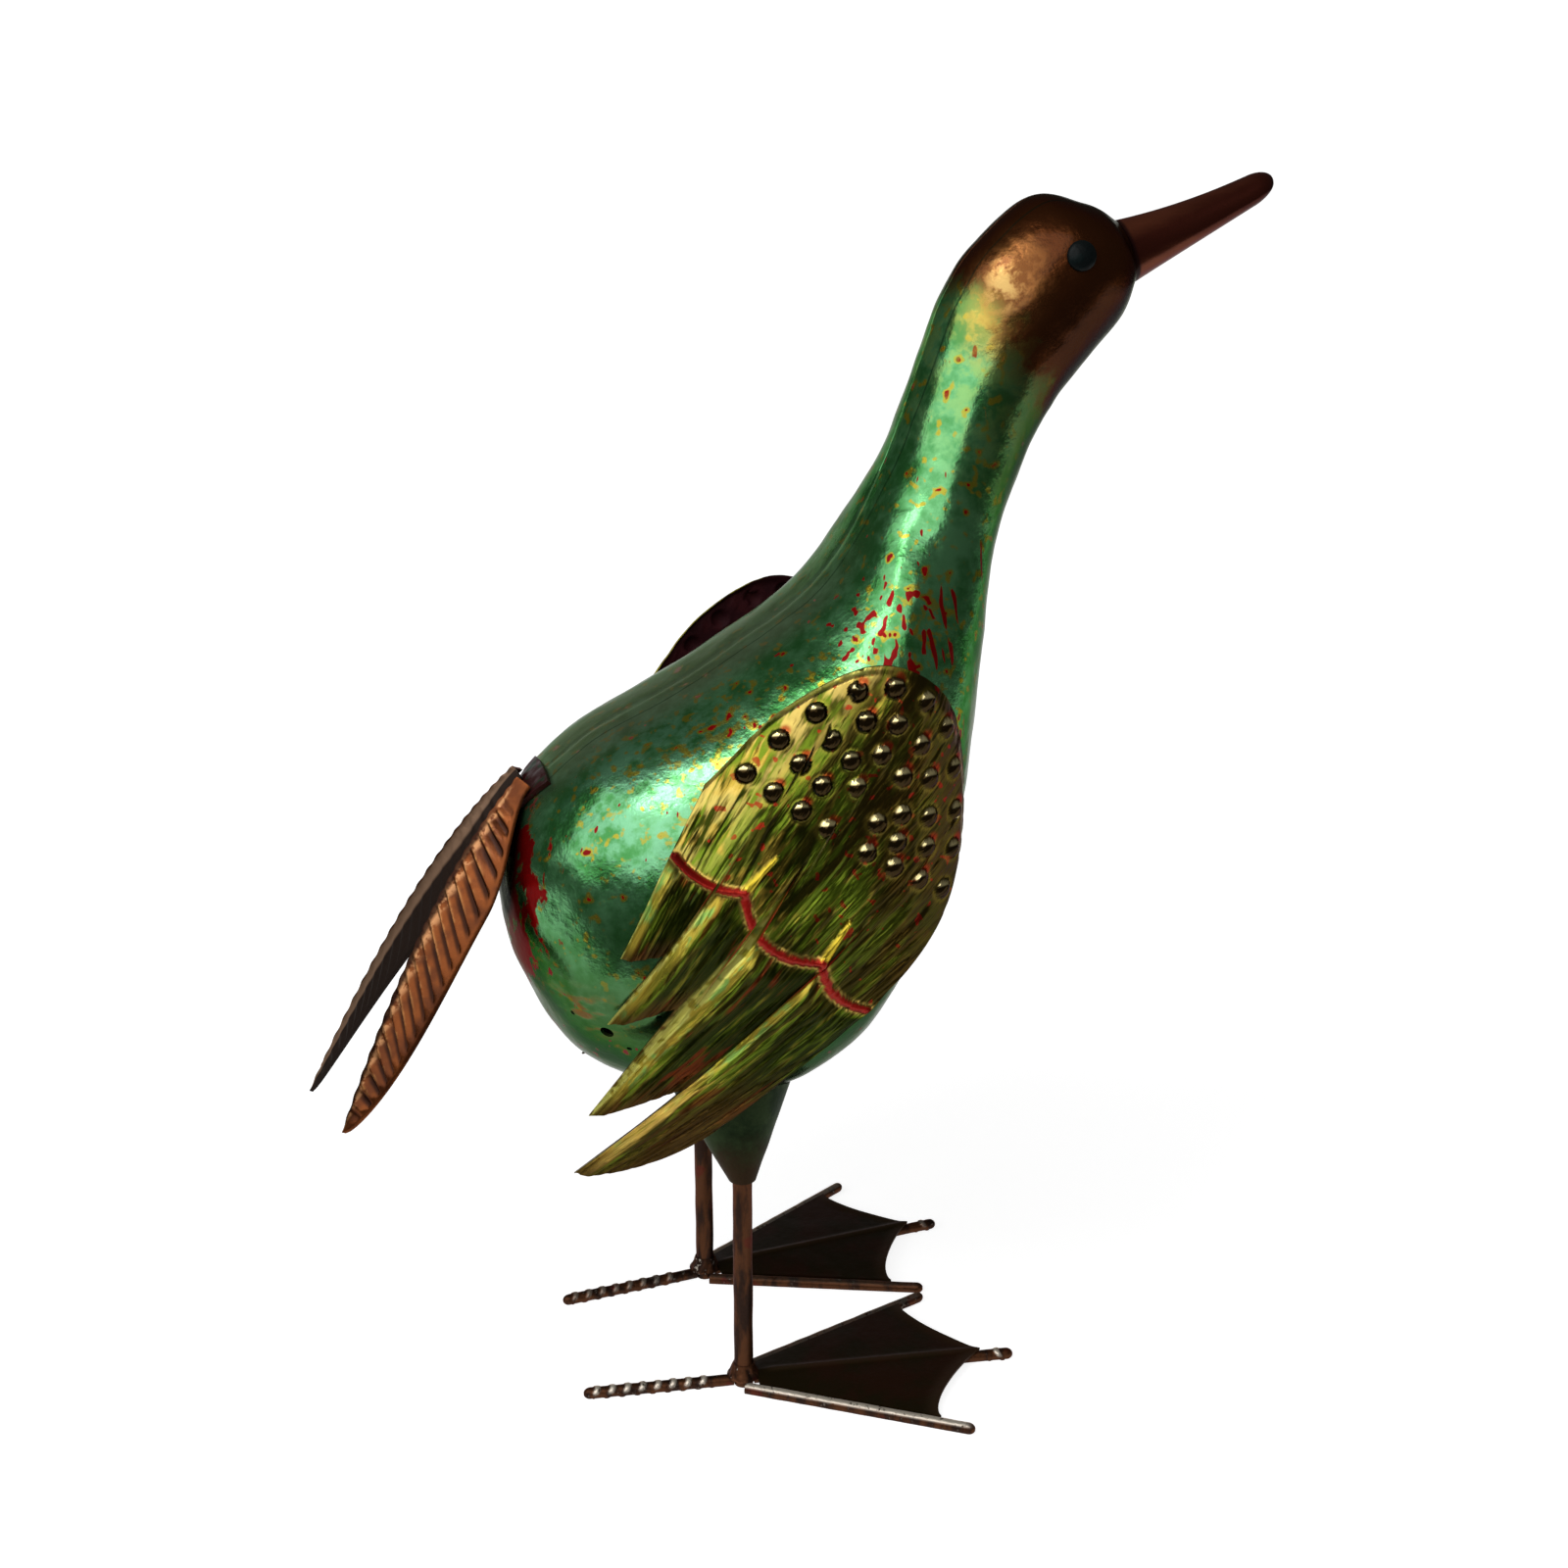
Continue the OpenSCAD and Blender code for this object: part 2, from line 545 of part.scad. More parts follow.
leg_in_thigh = 12;
leg_top = thigh_height + leg_in_thigh;
module leg() {
  cylinder(r = leg_radius, h = leg_top, $fn = 32);
}

module leg_right() color("saddlebrown") standing() leg();
module leg_left() color("saddlebrown") standing(true) leg();

// Toe rods run along +X from the leg and are ground flat below; the side toes start beside the leg
hub = leg_radius + 2 * snug;
toe_side = leg_radius + toe_radius + 2 * snug;
point_length = 2.5;
trim = 10;
module rod(start, length, first_rib) {
  difference() {
    translate([0, 0, toe_z]) rotate([0, 90, 0]) union() {
      translate([0, 0, start]) cylinder(r = toe_radius, h = length - start - point_length, $fn = 32);
      translate([0, 0, length - point_length])
        cylinder(r1 = toe_radius, r2 = toe_radius * 0.6, h = point_length, $fn = 32);
      for (x = [first_rib : rib_pitch : length - rib_pitch])
        translate([0, 0, x]) cylinder(r = toe_radius + rib_height, h = rib_pitch * 0.4, $fn = 32);
    }
    translate([-trim, -trim, -trim]) cube([length + 2 * trim, 2 * trim, trim]);
  }
}

module toe_back() rotate([0, 0, 180 - foot_turn]) rod(hub, back_toe, back_toe * 0.25);
module toe_middle() rotate([0, 0, -foot_turn]) rod(hub, middle_toe, web_reach + 2);
module toe_beside(hand) rotate([0, 0, -foot_turn]) translate([0, hand * toe_side, 0])
  rotate([0, 0, hand * toe_angle]) rod(0, side_toe, side_toe);
module toe_outer() toe_beside(-1);
module toe_inner() toe_beside(1);

module toe_back_right() color("sienna") standing() toe_back();
module toe_inner_right() color("sienna") standing() toe_inner();
module toe_middle_right() color("sienna") standing() toe_middle();
module toe_outer_right() color("sienna") standing() toe_outer();
module toe_back_left() color("sienna") standing(true) toe_back();
module toe_inner_left() color("sienna") standing(true) toe_inner();
module toe_middle_left() color("sienna") standing(true) toe_middle();
module toe_outer_left() color("sienna") standing(true) toe_outer();

// Web: low tent over the middle toe, down to the inner flanks of the side toes
web_start = leg_radius + 4;
web_flank = toe_radius * 0.75;
web_low = toe_z + toe_radius * 0.62;
module web() {
  function side_point(r, hand) = [r * cos(toe_angle) + web_flank * sin(toe_angle),
    hand * (toe_side + r * sin(toe_angle) - web_flank * cos(toe_angle)), 0];
  function reach(v) = mixed(web_reach, web_side_reach, v) - web_scallop * 4 * v * (1 - v);
  function web_at(i, v, d) = let (a = abs(v), r = mixed(web_start, reach(a), i / 4))
    mixed([r, 0, 0], side_point(r, v < 0 ? -1 : 1), a)
      + [0, 0, mixed(toe_top + 2 * snug, web_low, pow(a, 1.3)) + d];
  across = [for (j = [-6 : 6]) j / 6];
  rotate([0, 0, -foot_turn]) sheet([for (i = [0 : 4]) [for (v = across) web_at(i, v, web_wall)]],
    [for (i = [0 : 4]) [for (v = across) web_at(i, v, 0)]]);
}

module web_right() color("dimgray") standing() web();
module web_left() color("dimgray") standing(true) web();

// Weld bead round the ankle
weld_width = 2.4;
weld_height = 5;
module ankle_weld() {
  translate([0, 0, toe_top + 2 * snug]) rotate_extrude($fn = 32)
    polygon([[leg_radius + snug, 0], [leg_radius + weld_width, 0],
      [leg_radius + weld_width * 0.8, weld_height * 0.25],
      [leg_radius + weld_width * 0.35, weld_height * 0.55], [leg_radius + snug, weld_height]]);
}

module ankle_weld_right() color("tan") standing() ankle_weld();
module ankle_weld_left() color("tan") standing(true) ankle_weld();

body_shell_right();
body_shell_left();
bill_upper();
bill_lower();
eye_right();
eye_left();
wing_right();
wing_left();
tail_strap();
tail_feather_right();
tail_feather_left();
thigh_right();
thigh_left();
leg_right();
leg_left();
toe_back_right();
toe_inner_right();
toe_middle_right();
toe_outer_right();
toe_back_left();
toe_inner_left();
toe_middle_left();
toe_outer_left();
web_right();
web_left();
ankle_weld_right();
ankle_weld_left();
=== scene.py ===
import math

import bmesh
import bpy
import numpy as np
from bpy.props import FloatProperty, FloatVectorProperty, IntProperty, PointerProperty
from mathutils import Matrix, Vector, noise


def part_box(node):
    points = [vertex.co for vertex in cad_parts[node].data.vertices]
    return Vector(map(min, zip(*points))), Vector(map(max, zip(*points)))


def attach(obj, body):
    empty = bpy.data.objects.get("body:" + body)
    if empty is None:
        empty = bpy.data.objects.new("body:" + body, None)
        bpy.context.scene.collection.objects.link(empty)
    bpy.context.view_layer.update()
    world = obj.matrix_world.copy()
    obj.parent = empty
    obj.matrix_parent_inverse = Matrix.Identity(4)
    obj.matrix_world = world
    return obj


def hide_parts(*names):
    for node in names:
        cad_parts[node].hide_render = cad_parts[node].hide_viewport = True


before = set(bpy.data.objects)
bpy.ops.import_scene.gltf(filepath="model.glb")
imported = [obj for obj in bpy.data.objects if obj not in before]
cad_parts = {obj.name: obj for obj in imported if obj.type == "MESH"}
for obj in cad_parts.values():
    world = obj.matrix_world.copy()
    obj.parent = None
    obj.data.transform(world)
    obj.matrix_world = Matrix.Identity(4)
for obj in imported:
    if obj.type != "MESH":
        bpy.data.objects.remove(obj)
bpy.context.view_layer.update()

bl_info = {
    "name": "Lacquered Duck Statue",
    "version": (1, 0, 0),
    "blender": (4, 5, 0),
    "location": "View3D > Sidebar > Duck",
    "description": "Dresses a sheet metal duck in candy lacquer and stands it in a plain studio",
    "category": "Add Mesh",
}

# Lengths are millimetres from the right leg's line and the ground, and MM turns them into metres
MM = 0.001
LEG_LOW, LEG_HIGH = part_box("leg_right")
FAR_LEG_LOW, FAR_LEG_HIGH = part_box("leg_left")
LEG_X = (LEG_LOW.x + LEG_HIGH.x) / 2 / MM
LEG_SPACING = (FAR_LEG_LOW.y + FAR_LEG_HIGH.y) / MM
STRIDE = (FAR_LEG_LOW.x + FAR_LEG_HIGH.x) / 2 / MM - LEG_X
LEG_RADIUS = (LEG_HIGH.x - LEG_LOW.x) / 2 / MM
LEG_TOP = LEG_HIGH.z / MM
BELLY_Z = 102

# Body stations from the rear to the bill root, over the belly's lowest point:
# back x, back z, belly x, belly z, full width, squareness of the back
BODY_STATIONS = np.array([
    (-73, 89.5, -73, 88.5, 1, 2),
    (-67.5, 105, -72.5, 72, 44, 2),
    (-57.5, 117, -68.5, 53.5, 74, 2.4),
    (-40, 130.5, -53.5, 25, 108, 2.4),
    (-12, 144.5, -28, 8, 126, 2.4),
    (11, 158.5, 8, 0, 132, 2.4),
    (29.5, 171, 40, 13, 130, 2.4),
    (41, 183.5, 64.5, 46.5, 116, 2.4),
    (50, 198.5, 79.5, 88, 94, 2.4),
    (57.5, 214, 87.5, 138, 72, 2),
    (63.5, 229, 93.5, 183, 54, 2),
    (70.5, 249.5, 104, 212.5, 45, 2),
    (77, 266.5, 113, 229.5, 44, 2),
    (87, 281, 125, 244.5, 47, 2),
    (105, 295, 136, 257.5, 45, 2),
    (122, 293, 139, 266, 36, 2),
    (133, 287.5, 139, 267, 24, 2),
])
LAST_STATION = len(BODY_STATIONS) - 1
ROWS_PER_STATION, BODY_COLUMNS = 16, 76
SEAM_ANGLE, SEAM_DEPTH = 0.4, 0.3
SHEET_WALL = 1.2
# A finer set of hammer marks lies over the first: its share of the depth, and what divides the size
FINE_MARK_SHARE, FINE_MARK_DIVISOR = 0.35, 2.6
# Vents through the belly: station, angle and radius
VENTS = ((3.2, 126, 2.3), (2.75, 130, 0.9), (3.5, 130, 0.9), (3.7, 112, 0.9))
VENT_DEPTH, VENT_SIDES = 8, 24

BILL_LENGTH = 55
BILL_RISE = 22.5
BILL_TIP = (13, 9.5)
BILL_DIP = 2
BILL_SPLIT = 0.38
BILL_NOSE = 0.86
BILL_TOP_LAP, BILL_UNDER_GAP = 3.0, 0.3
BILL_ROWS, BILL_NOSE_ROWS, BILL_COLUMNS = 40, 14, 41
# Share of the bill's length that its inner face reaches
BILL_INNER_REACH = 0.985
# Way that the bill points at its root, in x and z, and how far along it the root stands in the row frame
BILL_AHEAD = (0.96, 0.281)
BILL_JOINT = (BODY_STATIONS[-1][0] + LEG_X) * BILL_AHEAD[0] + (BODY_STATIONS[-1][1] + BELLY_Z) * BILL_AHEAD[1]

EYE_STATION, EYE_ANGLE = 13.75, 77
EYE_RADIUS, EYE_BULGE, EYE_RIM, EYE_GAP = 4.75, 2.4, 0.3, 0.1
EYE_ROWS, EYE_COLUMNS = 14, 48

# Wing plan: rounded edge, feather tips and the notches behind them, as x and height over the belly
WING_EDGE = np.array([(-17, 129), (8, 152.5), (38, 163), (61.5, 147.5), (69, 114), (63, 83), (35, 51)])
WING_PEAK = WING_EDGE[2]
FEATHER_TIPS = np.array([(-43, 74), (-47, 50.5), (-53.5, 18), (-58.5, -3)])
FEATHER_NOTCHES = np.array([(-30.5, 75), (-27, 57), (-22.5, 29), (-5.5, 21)])
FEATHER_STARTS = np.array([0, 1.85, 2.8, 4, 6])
FEATHER_COLUMNS = (72, 34, 48, 84)
FEATHER_CREST = np.array([0.28, 0.25, 0.17, 0.035])
FEATHER_SLIT = 0.07
GILT_CREST = 0.08
FOURTH_BULGE = 4.5
WING_ROWS = 180
WING_OFFSET, WING_REAR_BEND, WING_FRONT_BEND = 65, 180, 32
WING_GAP, WING_WALL, WING_BLEND = 0.3, 1.0, 2.5
WING_LEVEL = (WING_EDGE[0][0] + WING_PEAK[0]) / 2 + 10
WING_TURN = WING_PEAK[0] + 2
LEFT_WING_TURN = 6.5
FAN_CENTRE = np.array([-97, -38])
FAN_REACH = 130
BEAD_CORNERS = np.array([(-26, 107), (-6, 95), (18, 70), (33, 51.5)])
BEAD_SAGS = (3, 7.5, 4)
CUSP_STROKES = (((-6, 95), (4, 105.5)), ((18, 70), (26.5, 82.5)))
DOT_CENTRE = np.array((27, 108))
DOT_ROWS = (11, 10, 8, 4)
DOT_SPAN = (0.3, 4.95)
DOT_MARGIN = 6
# Step up to the dotted half of the wing, and the roll of its rounded edge over a share of its length
COVERT_STEP, EDGE_ROLL, EDGE_ROLL_SHARE = 0.5, 1.4, 0.03
# The ring pressed round a dot: its depth, then its radius and width as shares of the dot's radius
RING_DEPTH, RING_RADIUS, RING_WIDTH = 0.15, 1.25, 0.2
# Height of the strokes at the bead's cusps, and their half width at either end
CUSP_HEIGHT, CUSP_START, CUSP_END = 0.9, 1.7, 0.6
# How far past the bead a feather's crest and its pale facet reach their full strength
CREST_REACH, FACET_REACH = 9, 4
CHASED_WIDTH, CHASED_LENGTH = 1.7, 22

TAIL_TIPS = {"right": (-129, -27, 10), "left": (-138, 27, -1)}
TAIL_START, TAIL_DROOP, TAIL_VANE, TAIL_FOLD = 45, 44, 17.5, 45
TAIL_ROOT_SHARE, TAIL_ROOT_STATION, TAIL_ROOT_SIDE = 0.26, 1.7, 6
TAIL_RISE, TAIL_BLUNTNESS = 0.3, {"right": 5, "left": 1.4}
TAIL_HALF_WALL, TAIL_GAP, TAIL_COLUMNS, TAIL_BARB_ROWS = 0.6, 0.2, 45, 16
# Share of the way out to the tip where a feather bends, and how far its barbs slant along it
TAIL_BEND_SIDE, BARB_SLANT = 0.45, 0.13
SPINE_WIDTH, SPINE_HEIGHT = 0.8, 0.7
STRAP_TOP, STRAP_GAP, STRAP_HALF_ANGLE, STRAP_STATIONS = 1.9, 0.3, 16, (1.3, 2.1)
STRAP_LUMP, STRAP_LUMP_SIZE, STRAP_ROWS, STRAP_COLUMNS = 0.25, 3.5, 25, 33

LEG_DENT, LEG_DENT_SIZE, LEG_FIT, LEG_ROWS, LEG_COLUMNS = 0.18, 11, 0.05, 100, 40
THIGH_HEIGHT, THIGH_LENGTH, THIGH_WALL, THIGH_GAP = 81, 41, 1.2, 0.3
THIGH_STATION, THIGH_ANGLE, THIGH_SPAN = 4.78, 161, 15
THIGH_DENT, THIGH_DENT_SIZE, THIGH_ROWS, THIGH_COLUMNS = 0.35, 9, 33, 72
TOE_RADIUS, GROUND_FLAT, TOE_NOSE, TOE_GAP = 2.0, 0.5, 2.4, 0.1
TOE_Z = TOE_RADIUS - GROUND_FLAT
TOE_TOP = TOE_Z + TOE_RADIUS
TOE_SIDE = LEG_RADIUS + TOE_RADIUS + TOE_GAP
MIDDLE_TOE, SIDE_TOE, BACK_TOE = 97, 81, 56
TOE_ANGLE, FOOT_TURN = 25.5, 6
TOE_DENT, TOE_DENT_SIZE, TOE_STEP, TOE_COLUMNS = 0.10, 5, 0.45, 28
# Ribs slant along their rod by this much to either side of their middle
RIB_SLANT = 1.4
WEB_WALL, WEB_REACH, WEB_SIDE_REACH, WEB_SCALLOP = 0.9, 85, 69, 5
WEB_START = LEG_RADIUS + 1
WEB_WAVE, WEB_WAVE_SIZE, WEB_LIP, WEB_FOLD_WIDTH, WEB_FOLD_HEIGHT = 0.35, 16, 0.5, 1.3, 0.5
WEB_ROWS, WEB_COLUMNS = 49, 101
WELD_CORE, WELD_WIDTH, WELD_HEIGHT = LEG_RADIUS + LEG_FIT, 2.35, 5
WELD_RIPPLE, WELD_RIPPLES, WELD_LUMP, WELD_LUMP_SIZE = 0.25, 9, 0.35, 2.4
WELD_ROWS, WELD_COLUMNS = 24, 72

# Each side's name, and whether its shapes are mirrored
SIDES = (("right", False), ("left", True))


def length(name, description, default, low=0):
    """A length property in metres."""
    return FloatProperty(name=name, description=description, default=default, min=low, unit="LENGTH")


def power(name, description, default):
    """A lamp's power property in watts."""
    return FloatProperty(name=name, description=description, default=default, min=0, unit="POWER")


def colour(name, description, default):
    """A colour property in linear light."""
    return FloatVectorProperty(
        name=name, description=description, subtype="COLOR", size=3, min=0, max=1, default=default)


class DuckShape(bpy.types.PropertyGroup):
    hammer_depth: length("Hammer depth", "Depth of the planishing marks on the body", 0.00034)
    hammer_size: length("Hammer size", "Width of one planishing mark", 0.013, 0.004)
    dot_radius: length("Dot radius", "Radius of the punched dots on the wings", 0.0031, 0.001)
    dot_height: length("Dot height", "Height of the punched dots on the wings", 0.0017)
    dot_pitch: length("Dot pitch", "Distance between the rows of dots", 0.0105, 0.005)
    bead_width: length("Bead width", "Width of the scalloped bead across the wings", 0.0028, 0.001)
    bead_height: length("Bead height", "Height of the scalloped bead across the wings", 0.0011)
    ridge_height: length("Ridge height", "Height of the crest along each wing feather", 0.0027)
    stroke_depth: length("Stroke depth", "Depth of the chased strokes along the wing feathers", 0.0006)
    barb_count: IntProperty(name="Barbs", description="Barbs along each tail feather", default=22, min=4)
    barb_depth: length("Barb depth", "Depth of the grooves between the barbs", 0.0007)
    rib_pitch: length("Rib pitch", "Distance between the ribs on the ribbed toe rods", 0.0053, 0.002)
    rib_height: length("Rib height", "Height of the ribs on the ribbed toe rods", 0.0004)


class DuckColours(bpy.types.PropertyGroup):
    green: colour("Green", "Candy green of the body", (0.125, 0.35, 0.15))
    deep_green: colour("Deep green", "Thick green lacquer in the shades of the body", (0.042, 0.185, 0.048))
    olive: colour("Olive", "Yellow olive flecks in the green", (0.3, 0.24, 0.012))
    red: colour("Red", "Red flecks on the body", (0.22, 0.003, 0.003))
    copper: colour("Copper", "Copper brown of the head", (0.3, 0.125, 0.035))
    bill: colour("Bill", "Dark copper of the bill", (0.15, 0.042, 0.02))
    gold: colour("Gold", "Gold of the wings", (0.48, 0.35, 0.05))
    wing_green: colour("Wing green", "Green glaze over the gold of the wings", (0.125, 0.185, 0.012))
    wing_brown: colour("Wing brown", "Brown glaze between the dots", (0.075, 0.036, 0.006))
    crest: colour("Crest", "Pale yellow on the feather crests", (0.44, 0.33, 0.038))
    maroon: colour("Maroon", "Inner faces of the wings", (0.02, 0.002, 0.004))
    tail: colour("Tail copper", "Copper of the tail feathers", (0.14, 0.038, 0.009))
    bronze: colour("Bronze", "Brown bronze of the legs and toes", (0.08, 0.03, 0.013))
    bare: colour("Bare metal", "Metal rubbed bright on the toes and welds", (0.72, 0.64, 0.54))
    web: colour("Web", "Dark bronze of the webs", (0.015, 0.01, 0.003))
    eye: colour("Eye", "Black teal of the eyes", (0.003, 0.005, 0.005))


class DuckStudio(bpy.types.PropertyGroup):
    key_level: power("Key level", "Power of the large soft light", 15.4)
    spark_level: power("Spark level", "Power of the small light in front of the large one", 1.1)
    surround: FloatProperty(
        name="Surround", description="Grey level of the unlit surroundings", default=0.10, min=0, max=1)
    camera_distance: length("Camera distance", "From the camera to the middle of the duck", 0.660, 0.2)


def mixed(a, b, f):
    """The blend of a and b, with f from 0 to 1."""
    return a + (b - a) * f


def eased(low, high, x):
    """Smooth step of x from 0 at low to 1 at high."""
    f = np.clip((x - low) / (high - low), 0, 1)
    return f * f * (3 - 2 * f)


def hump(f):
    """0 at both ends of f from 0 to 1, and 1 in the middle."""
    return 4 * f * (1 - f)


def unit(v):
    """v at length 1."""
    return v / np.linalg.norm(v, axis=-1, keepdims=True)


def joined(*axes):
    """Points from one array for each axis, spread to one shape."""
    return np.stack(np.broadcast_arrays(*axes), -1)


def circle(count):
    """Angles of a full turn in radians, as one row."""
    return np.linspace(0, 2 * np.pi, count, endpoint=False)[None]


def ringed(r, angle, z):
    """Points round the upright at a radius, an angle and a height."""
    return joined(r * np.cos(angle), r * np.sin(angle), z)


def turned(points, angle):
    """Points turned in their first two axes by an angle in degrees."""
    turn = np.radians(angle)
    x, y, *rest = np.moveaxis(points, -1, 0)
    return joined(x * np.cos(turn) - y * np.sin(turn), x * np.sin(turn) + y * np.cos(turn), *rest)


def lofted(points, u):
    """The smooth curve through a list of points, with u counting the points."""
    u = np.asarray(u, float)
    ends = np.vstack([2 * points[0] - points[1], points, 2 * points[-1] - points[-2]])
    i = np.clip(np.floor(u).astype(int), 0, len(points) - 2)
    f = (u - i)[..., None]
    a, b, c, d = (ends[i + k] for k in range(4))
    return 0.5 * (2 * b + (c - a) * f + (2 * a - 5 * b + 4 * c - d) * f**2 + (3 * b - a - 3 * c + d) * f**3)


def grain(points, size, seed=0.0):
    """Smooth noise from -1 to 1 at points, in patches of that size."""
    flat = points.reshape(-1, 3) / size + seed
    return np.array([noise.noise(p) for p in flat.tolist()]).reshape(points.shape[:-1])


def grid_normals(grid, toward):
    """Unit normals of a grid of points, on the side that toward points to."""
    normal = np.cross(np.gradient(grid, axis=0), np.gradient(grid, axis=1))
    long = np.maximum(np.linalg.norm(normal, axis=-1, keepdims=True), 1e-9)
    side = np.sign(np.sum(normal * toward, axis=-1, keepdims=True))
    return normal / long * np.where(side == 0, 1, side)


def body_at(u, angle):
    """The body's right side at station u, at an angle in degrees from 0 on the back to 180 on the belly."""
    u, angle = np.broadcast_arrays(np.asarray(u, float), np.asarray(angle, float))
    back_x, back_z, belly_x, belly_z, width, square = np.moveaxis(lofted(BODY_STATIONS, u), -1, 0)
    turn = np.radians(angle)
    c = np.cos(turn)
    bend = np.where(c > 0, 2 / square, 1)
    f = (1 - np.sign(c) * np.abs(c) ** bend) / 2
    y = -np.sign(np.sin(turn)) * width / 2 * np.abs(np.sin(turn)) ** bend
    return joined(mixed(back_x, belly_x, f), y, mixed(back_z, belly_z, f) + BELLY_Z)


def body_normal(u, angle):
    """Outward normal of the body's right side."""
    u = np.clip(u, 0.02, LAST_STATION - 0.02)
    angle = np.where(np.abs(angle) < 2, np.where(np.asarray(angle) < 0, -2, 2), np.minimum(angle, 178))
    around = body_at(u, angle + 1) - body_at(u, angle - 1)
    along = body_at(u + 0.02, angle) - body_at(u - 0.02, angle)
    return unit(np.cross(around, along))


def body_out(u, angle, lift):
    """A point that stands off the body by lift."""
    return body_at(u, angle) + lift * body_normal(u, angle)


def half_width(x, z):
    """Half width of the body where a sideways line at x and z, over the belly, meets it."""
    low, high = np.zeros_like(x), np.full_like(x, LAST_STATION)
    for _ in range(18):
        middle = (low + high) / 2
        s = lofted(BODY_STATIONS, middle)
        ahead = (s[..., 2] - s[..., 0]) * (z - s[..., 1]) - (s[..., 3] - s[..., 1]) * (x - s[..., 0]) > 0
        low, high = np.where(ahead, middle, low), np.where(ahead, high, middle)
    s = lofted(BODY_STATIONS, (low + high) / 2)
    chord = s[..., 2:4] - s[..., 0:2]
    f = ((x - s[..., 0]) * chord[..., 0] + (z - s[..., 1]) * chord[..., 1]) / np.sum(chord * chord, -1)
    bend = np.where(f < 0.5, s[..., 5], 2)
    inside = np.clip(1 - np.abs(1 - 2 * f) ** bend, 0, 1)
    return s[..., 4] / 2 * inside ** (1 / bend)


def grid_faces(rows, cols, wrapped):
    """Faces of a grid of points, and the points that start and end each face of its first row."""
    j = np.arange(cols if wrapped else cols - 1)
    k = (j + 1) % cols
    i = np.arange(rows - 1)[:, None] * cols
    return np.stack([i + j, i + k, i + k + cols, i + j + cols], -1).reshape(-1, 4), j, k


def sheet_faces(rows, cols, wrapped):
    """Faces of the closed sheet between two grids, and 1 for each face of the second grid."""
    face, j, k = grid_faces(rows, cols, wrapped)
    n, m = rows * cols, (rows - 1) * cols
    borders = [(j, n + j, n + k, k), (m + j, m + k, n + m + k, n + m + j)]
    if not wrapped:
        a = np.arange(rows - 1) * cols
        c = a + cols - 1
        borders += [(a, a + cols, n + a + cols, n + a), (c, n + c, n + c + cols, c + cols)]
    rim = np.vstack([np.stack(border, -1) for border in borders])
    faces = np.vstack([face, face[:, ::-1] + n, rim])
    return faces, np.repeat([0, 1, 0], [len(face), len(face), len(rim)])


def new_mesh(name, points, faces, marks, copies=1):
    """A mesh of points in millimetres. Its vertex attributes are the marks, repeated for each grid."""
    mesh = bpy.data.meshes.new(name)
    mesh.from_pydata((points.reshape(-1, 3) * MM).tolist(), [], faces)
    for key, value in (marks or {}).items():
        layer = mesh.attributes.new(key, "FLOAT", "POINT")
        layer.data.foreach_set("value", np.tile(np.ravel(value), copies).astype(np.float32))
    return mesh


def finished(mesh, crease=45):
    """The mesh with stray points merged, faces turned outward and smooth shading up to the crease angle."""
    made = bmesh.new()
    made.from_mesh(mesh)
    bmesh.ops.remove_doubles(made, verts=made.verts, dist=0.01 * MM)
    bmesh.ops.recalc_face_normals(made, faces=made.faces)
    made.to_mesh(mesh)
    made.free()
    mesh.polygons.foreach_set("use_smooth", np.ones(len(mesh.polygons), bool))
    mesh.set_sharp_from_angle(angle=math.radians(crease))
    return mesh


def sheet_mesh(name, outer, inner, wrapped=False, marks=None, crease=45):
    """A closed mesh between two grids of points."""
    faces, back = sheet_faces(*outer.shape[:2], wrapped)
    mesh = new_mesh(name, np.stack([outer, inner]), faces.tolist(), marks, 2)
    mesh.polygons.foreach_set("material_index", back)
    return finished(mesh, crease)


def capped_mesh(name, rings, marks=None):
    """A closed mesh through rings of points, capped at both ends."""
    rows, cols = rings.shape[:2]
    faces, j, _ = grid_faces(rows, cols, True)
    caps = [j[::-1].tolist(), (j + (rows - 1) * cols).tolist()]
    return finished(new_mesh(name, rings, faces.tolist() + caps, marks))


def in_frame(points, left=False):
    """Points of the right side in the row frame, or their mirror image on the left side."""
    return points * (1, -1 if left else 1, 1) + (LEG_X, 0, 0)


def at_foot(points, left):
    """Points of a right foot, given from its own leg line and turned outward, in the row frame."""
    return in_frame(turned(points, -FOOT_TURN) + (STRIDE if left else 0, -LEG_SPACING / 2, 0), left)


def piece(name, mesh, slot, node, *finishes):
    """An object that rides on the statue's one body and stands for its solid node."""
    made = bpy.data.objects.new(name, mesh)
    bpy.context.scene.collection.objects.link(made)
    for finish in finishes:
        mesh.materials.append(finish)
    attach(made, "root")
    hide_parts(node)
    return made


class Value:
    """A shader socket. Arithmetic on it adds Math nodes to its finish, and | takes the larger value."""

    def __init__(self, finish, socket):
        self.finish = finish
        self.socket = socket

    def maths(self, operation, first, second):
        return self.finish.node("ShaderNodeMath", {"operation": operation}, {0: first, 1: second})

    def __add__(self, other):
        return self.maths("ADD", self, other)

    def __sub__(self, other):
        return self.maths("SUBTRACT", self, other)

    def __rsub__(self, other):
        return self.maths("SUBTRACT", other, self)

    def __mul__(self, other):
        return self.maths("MULTIPLY", self, other)

    def __or__(self, other):
        return self.maths("MAXIMUM", self, other)

    __radd__ = __add__
    __rmul__ = __mul__
    __ror__ = __or__


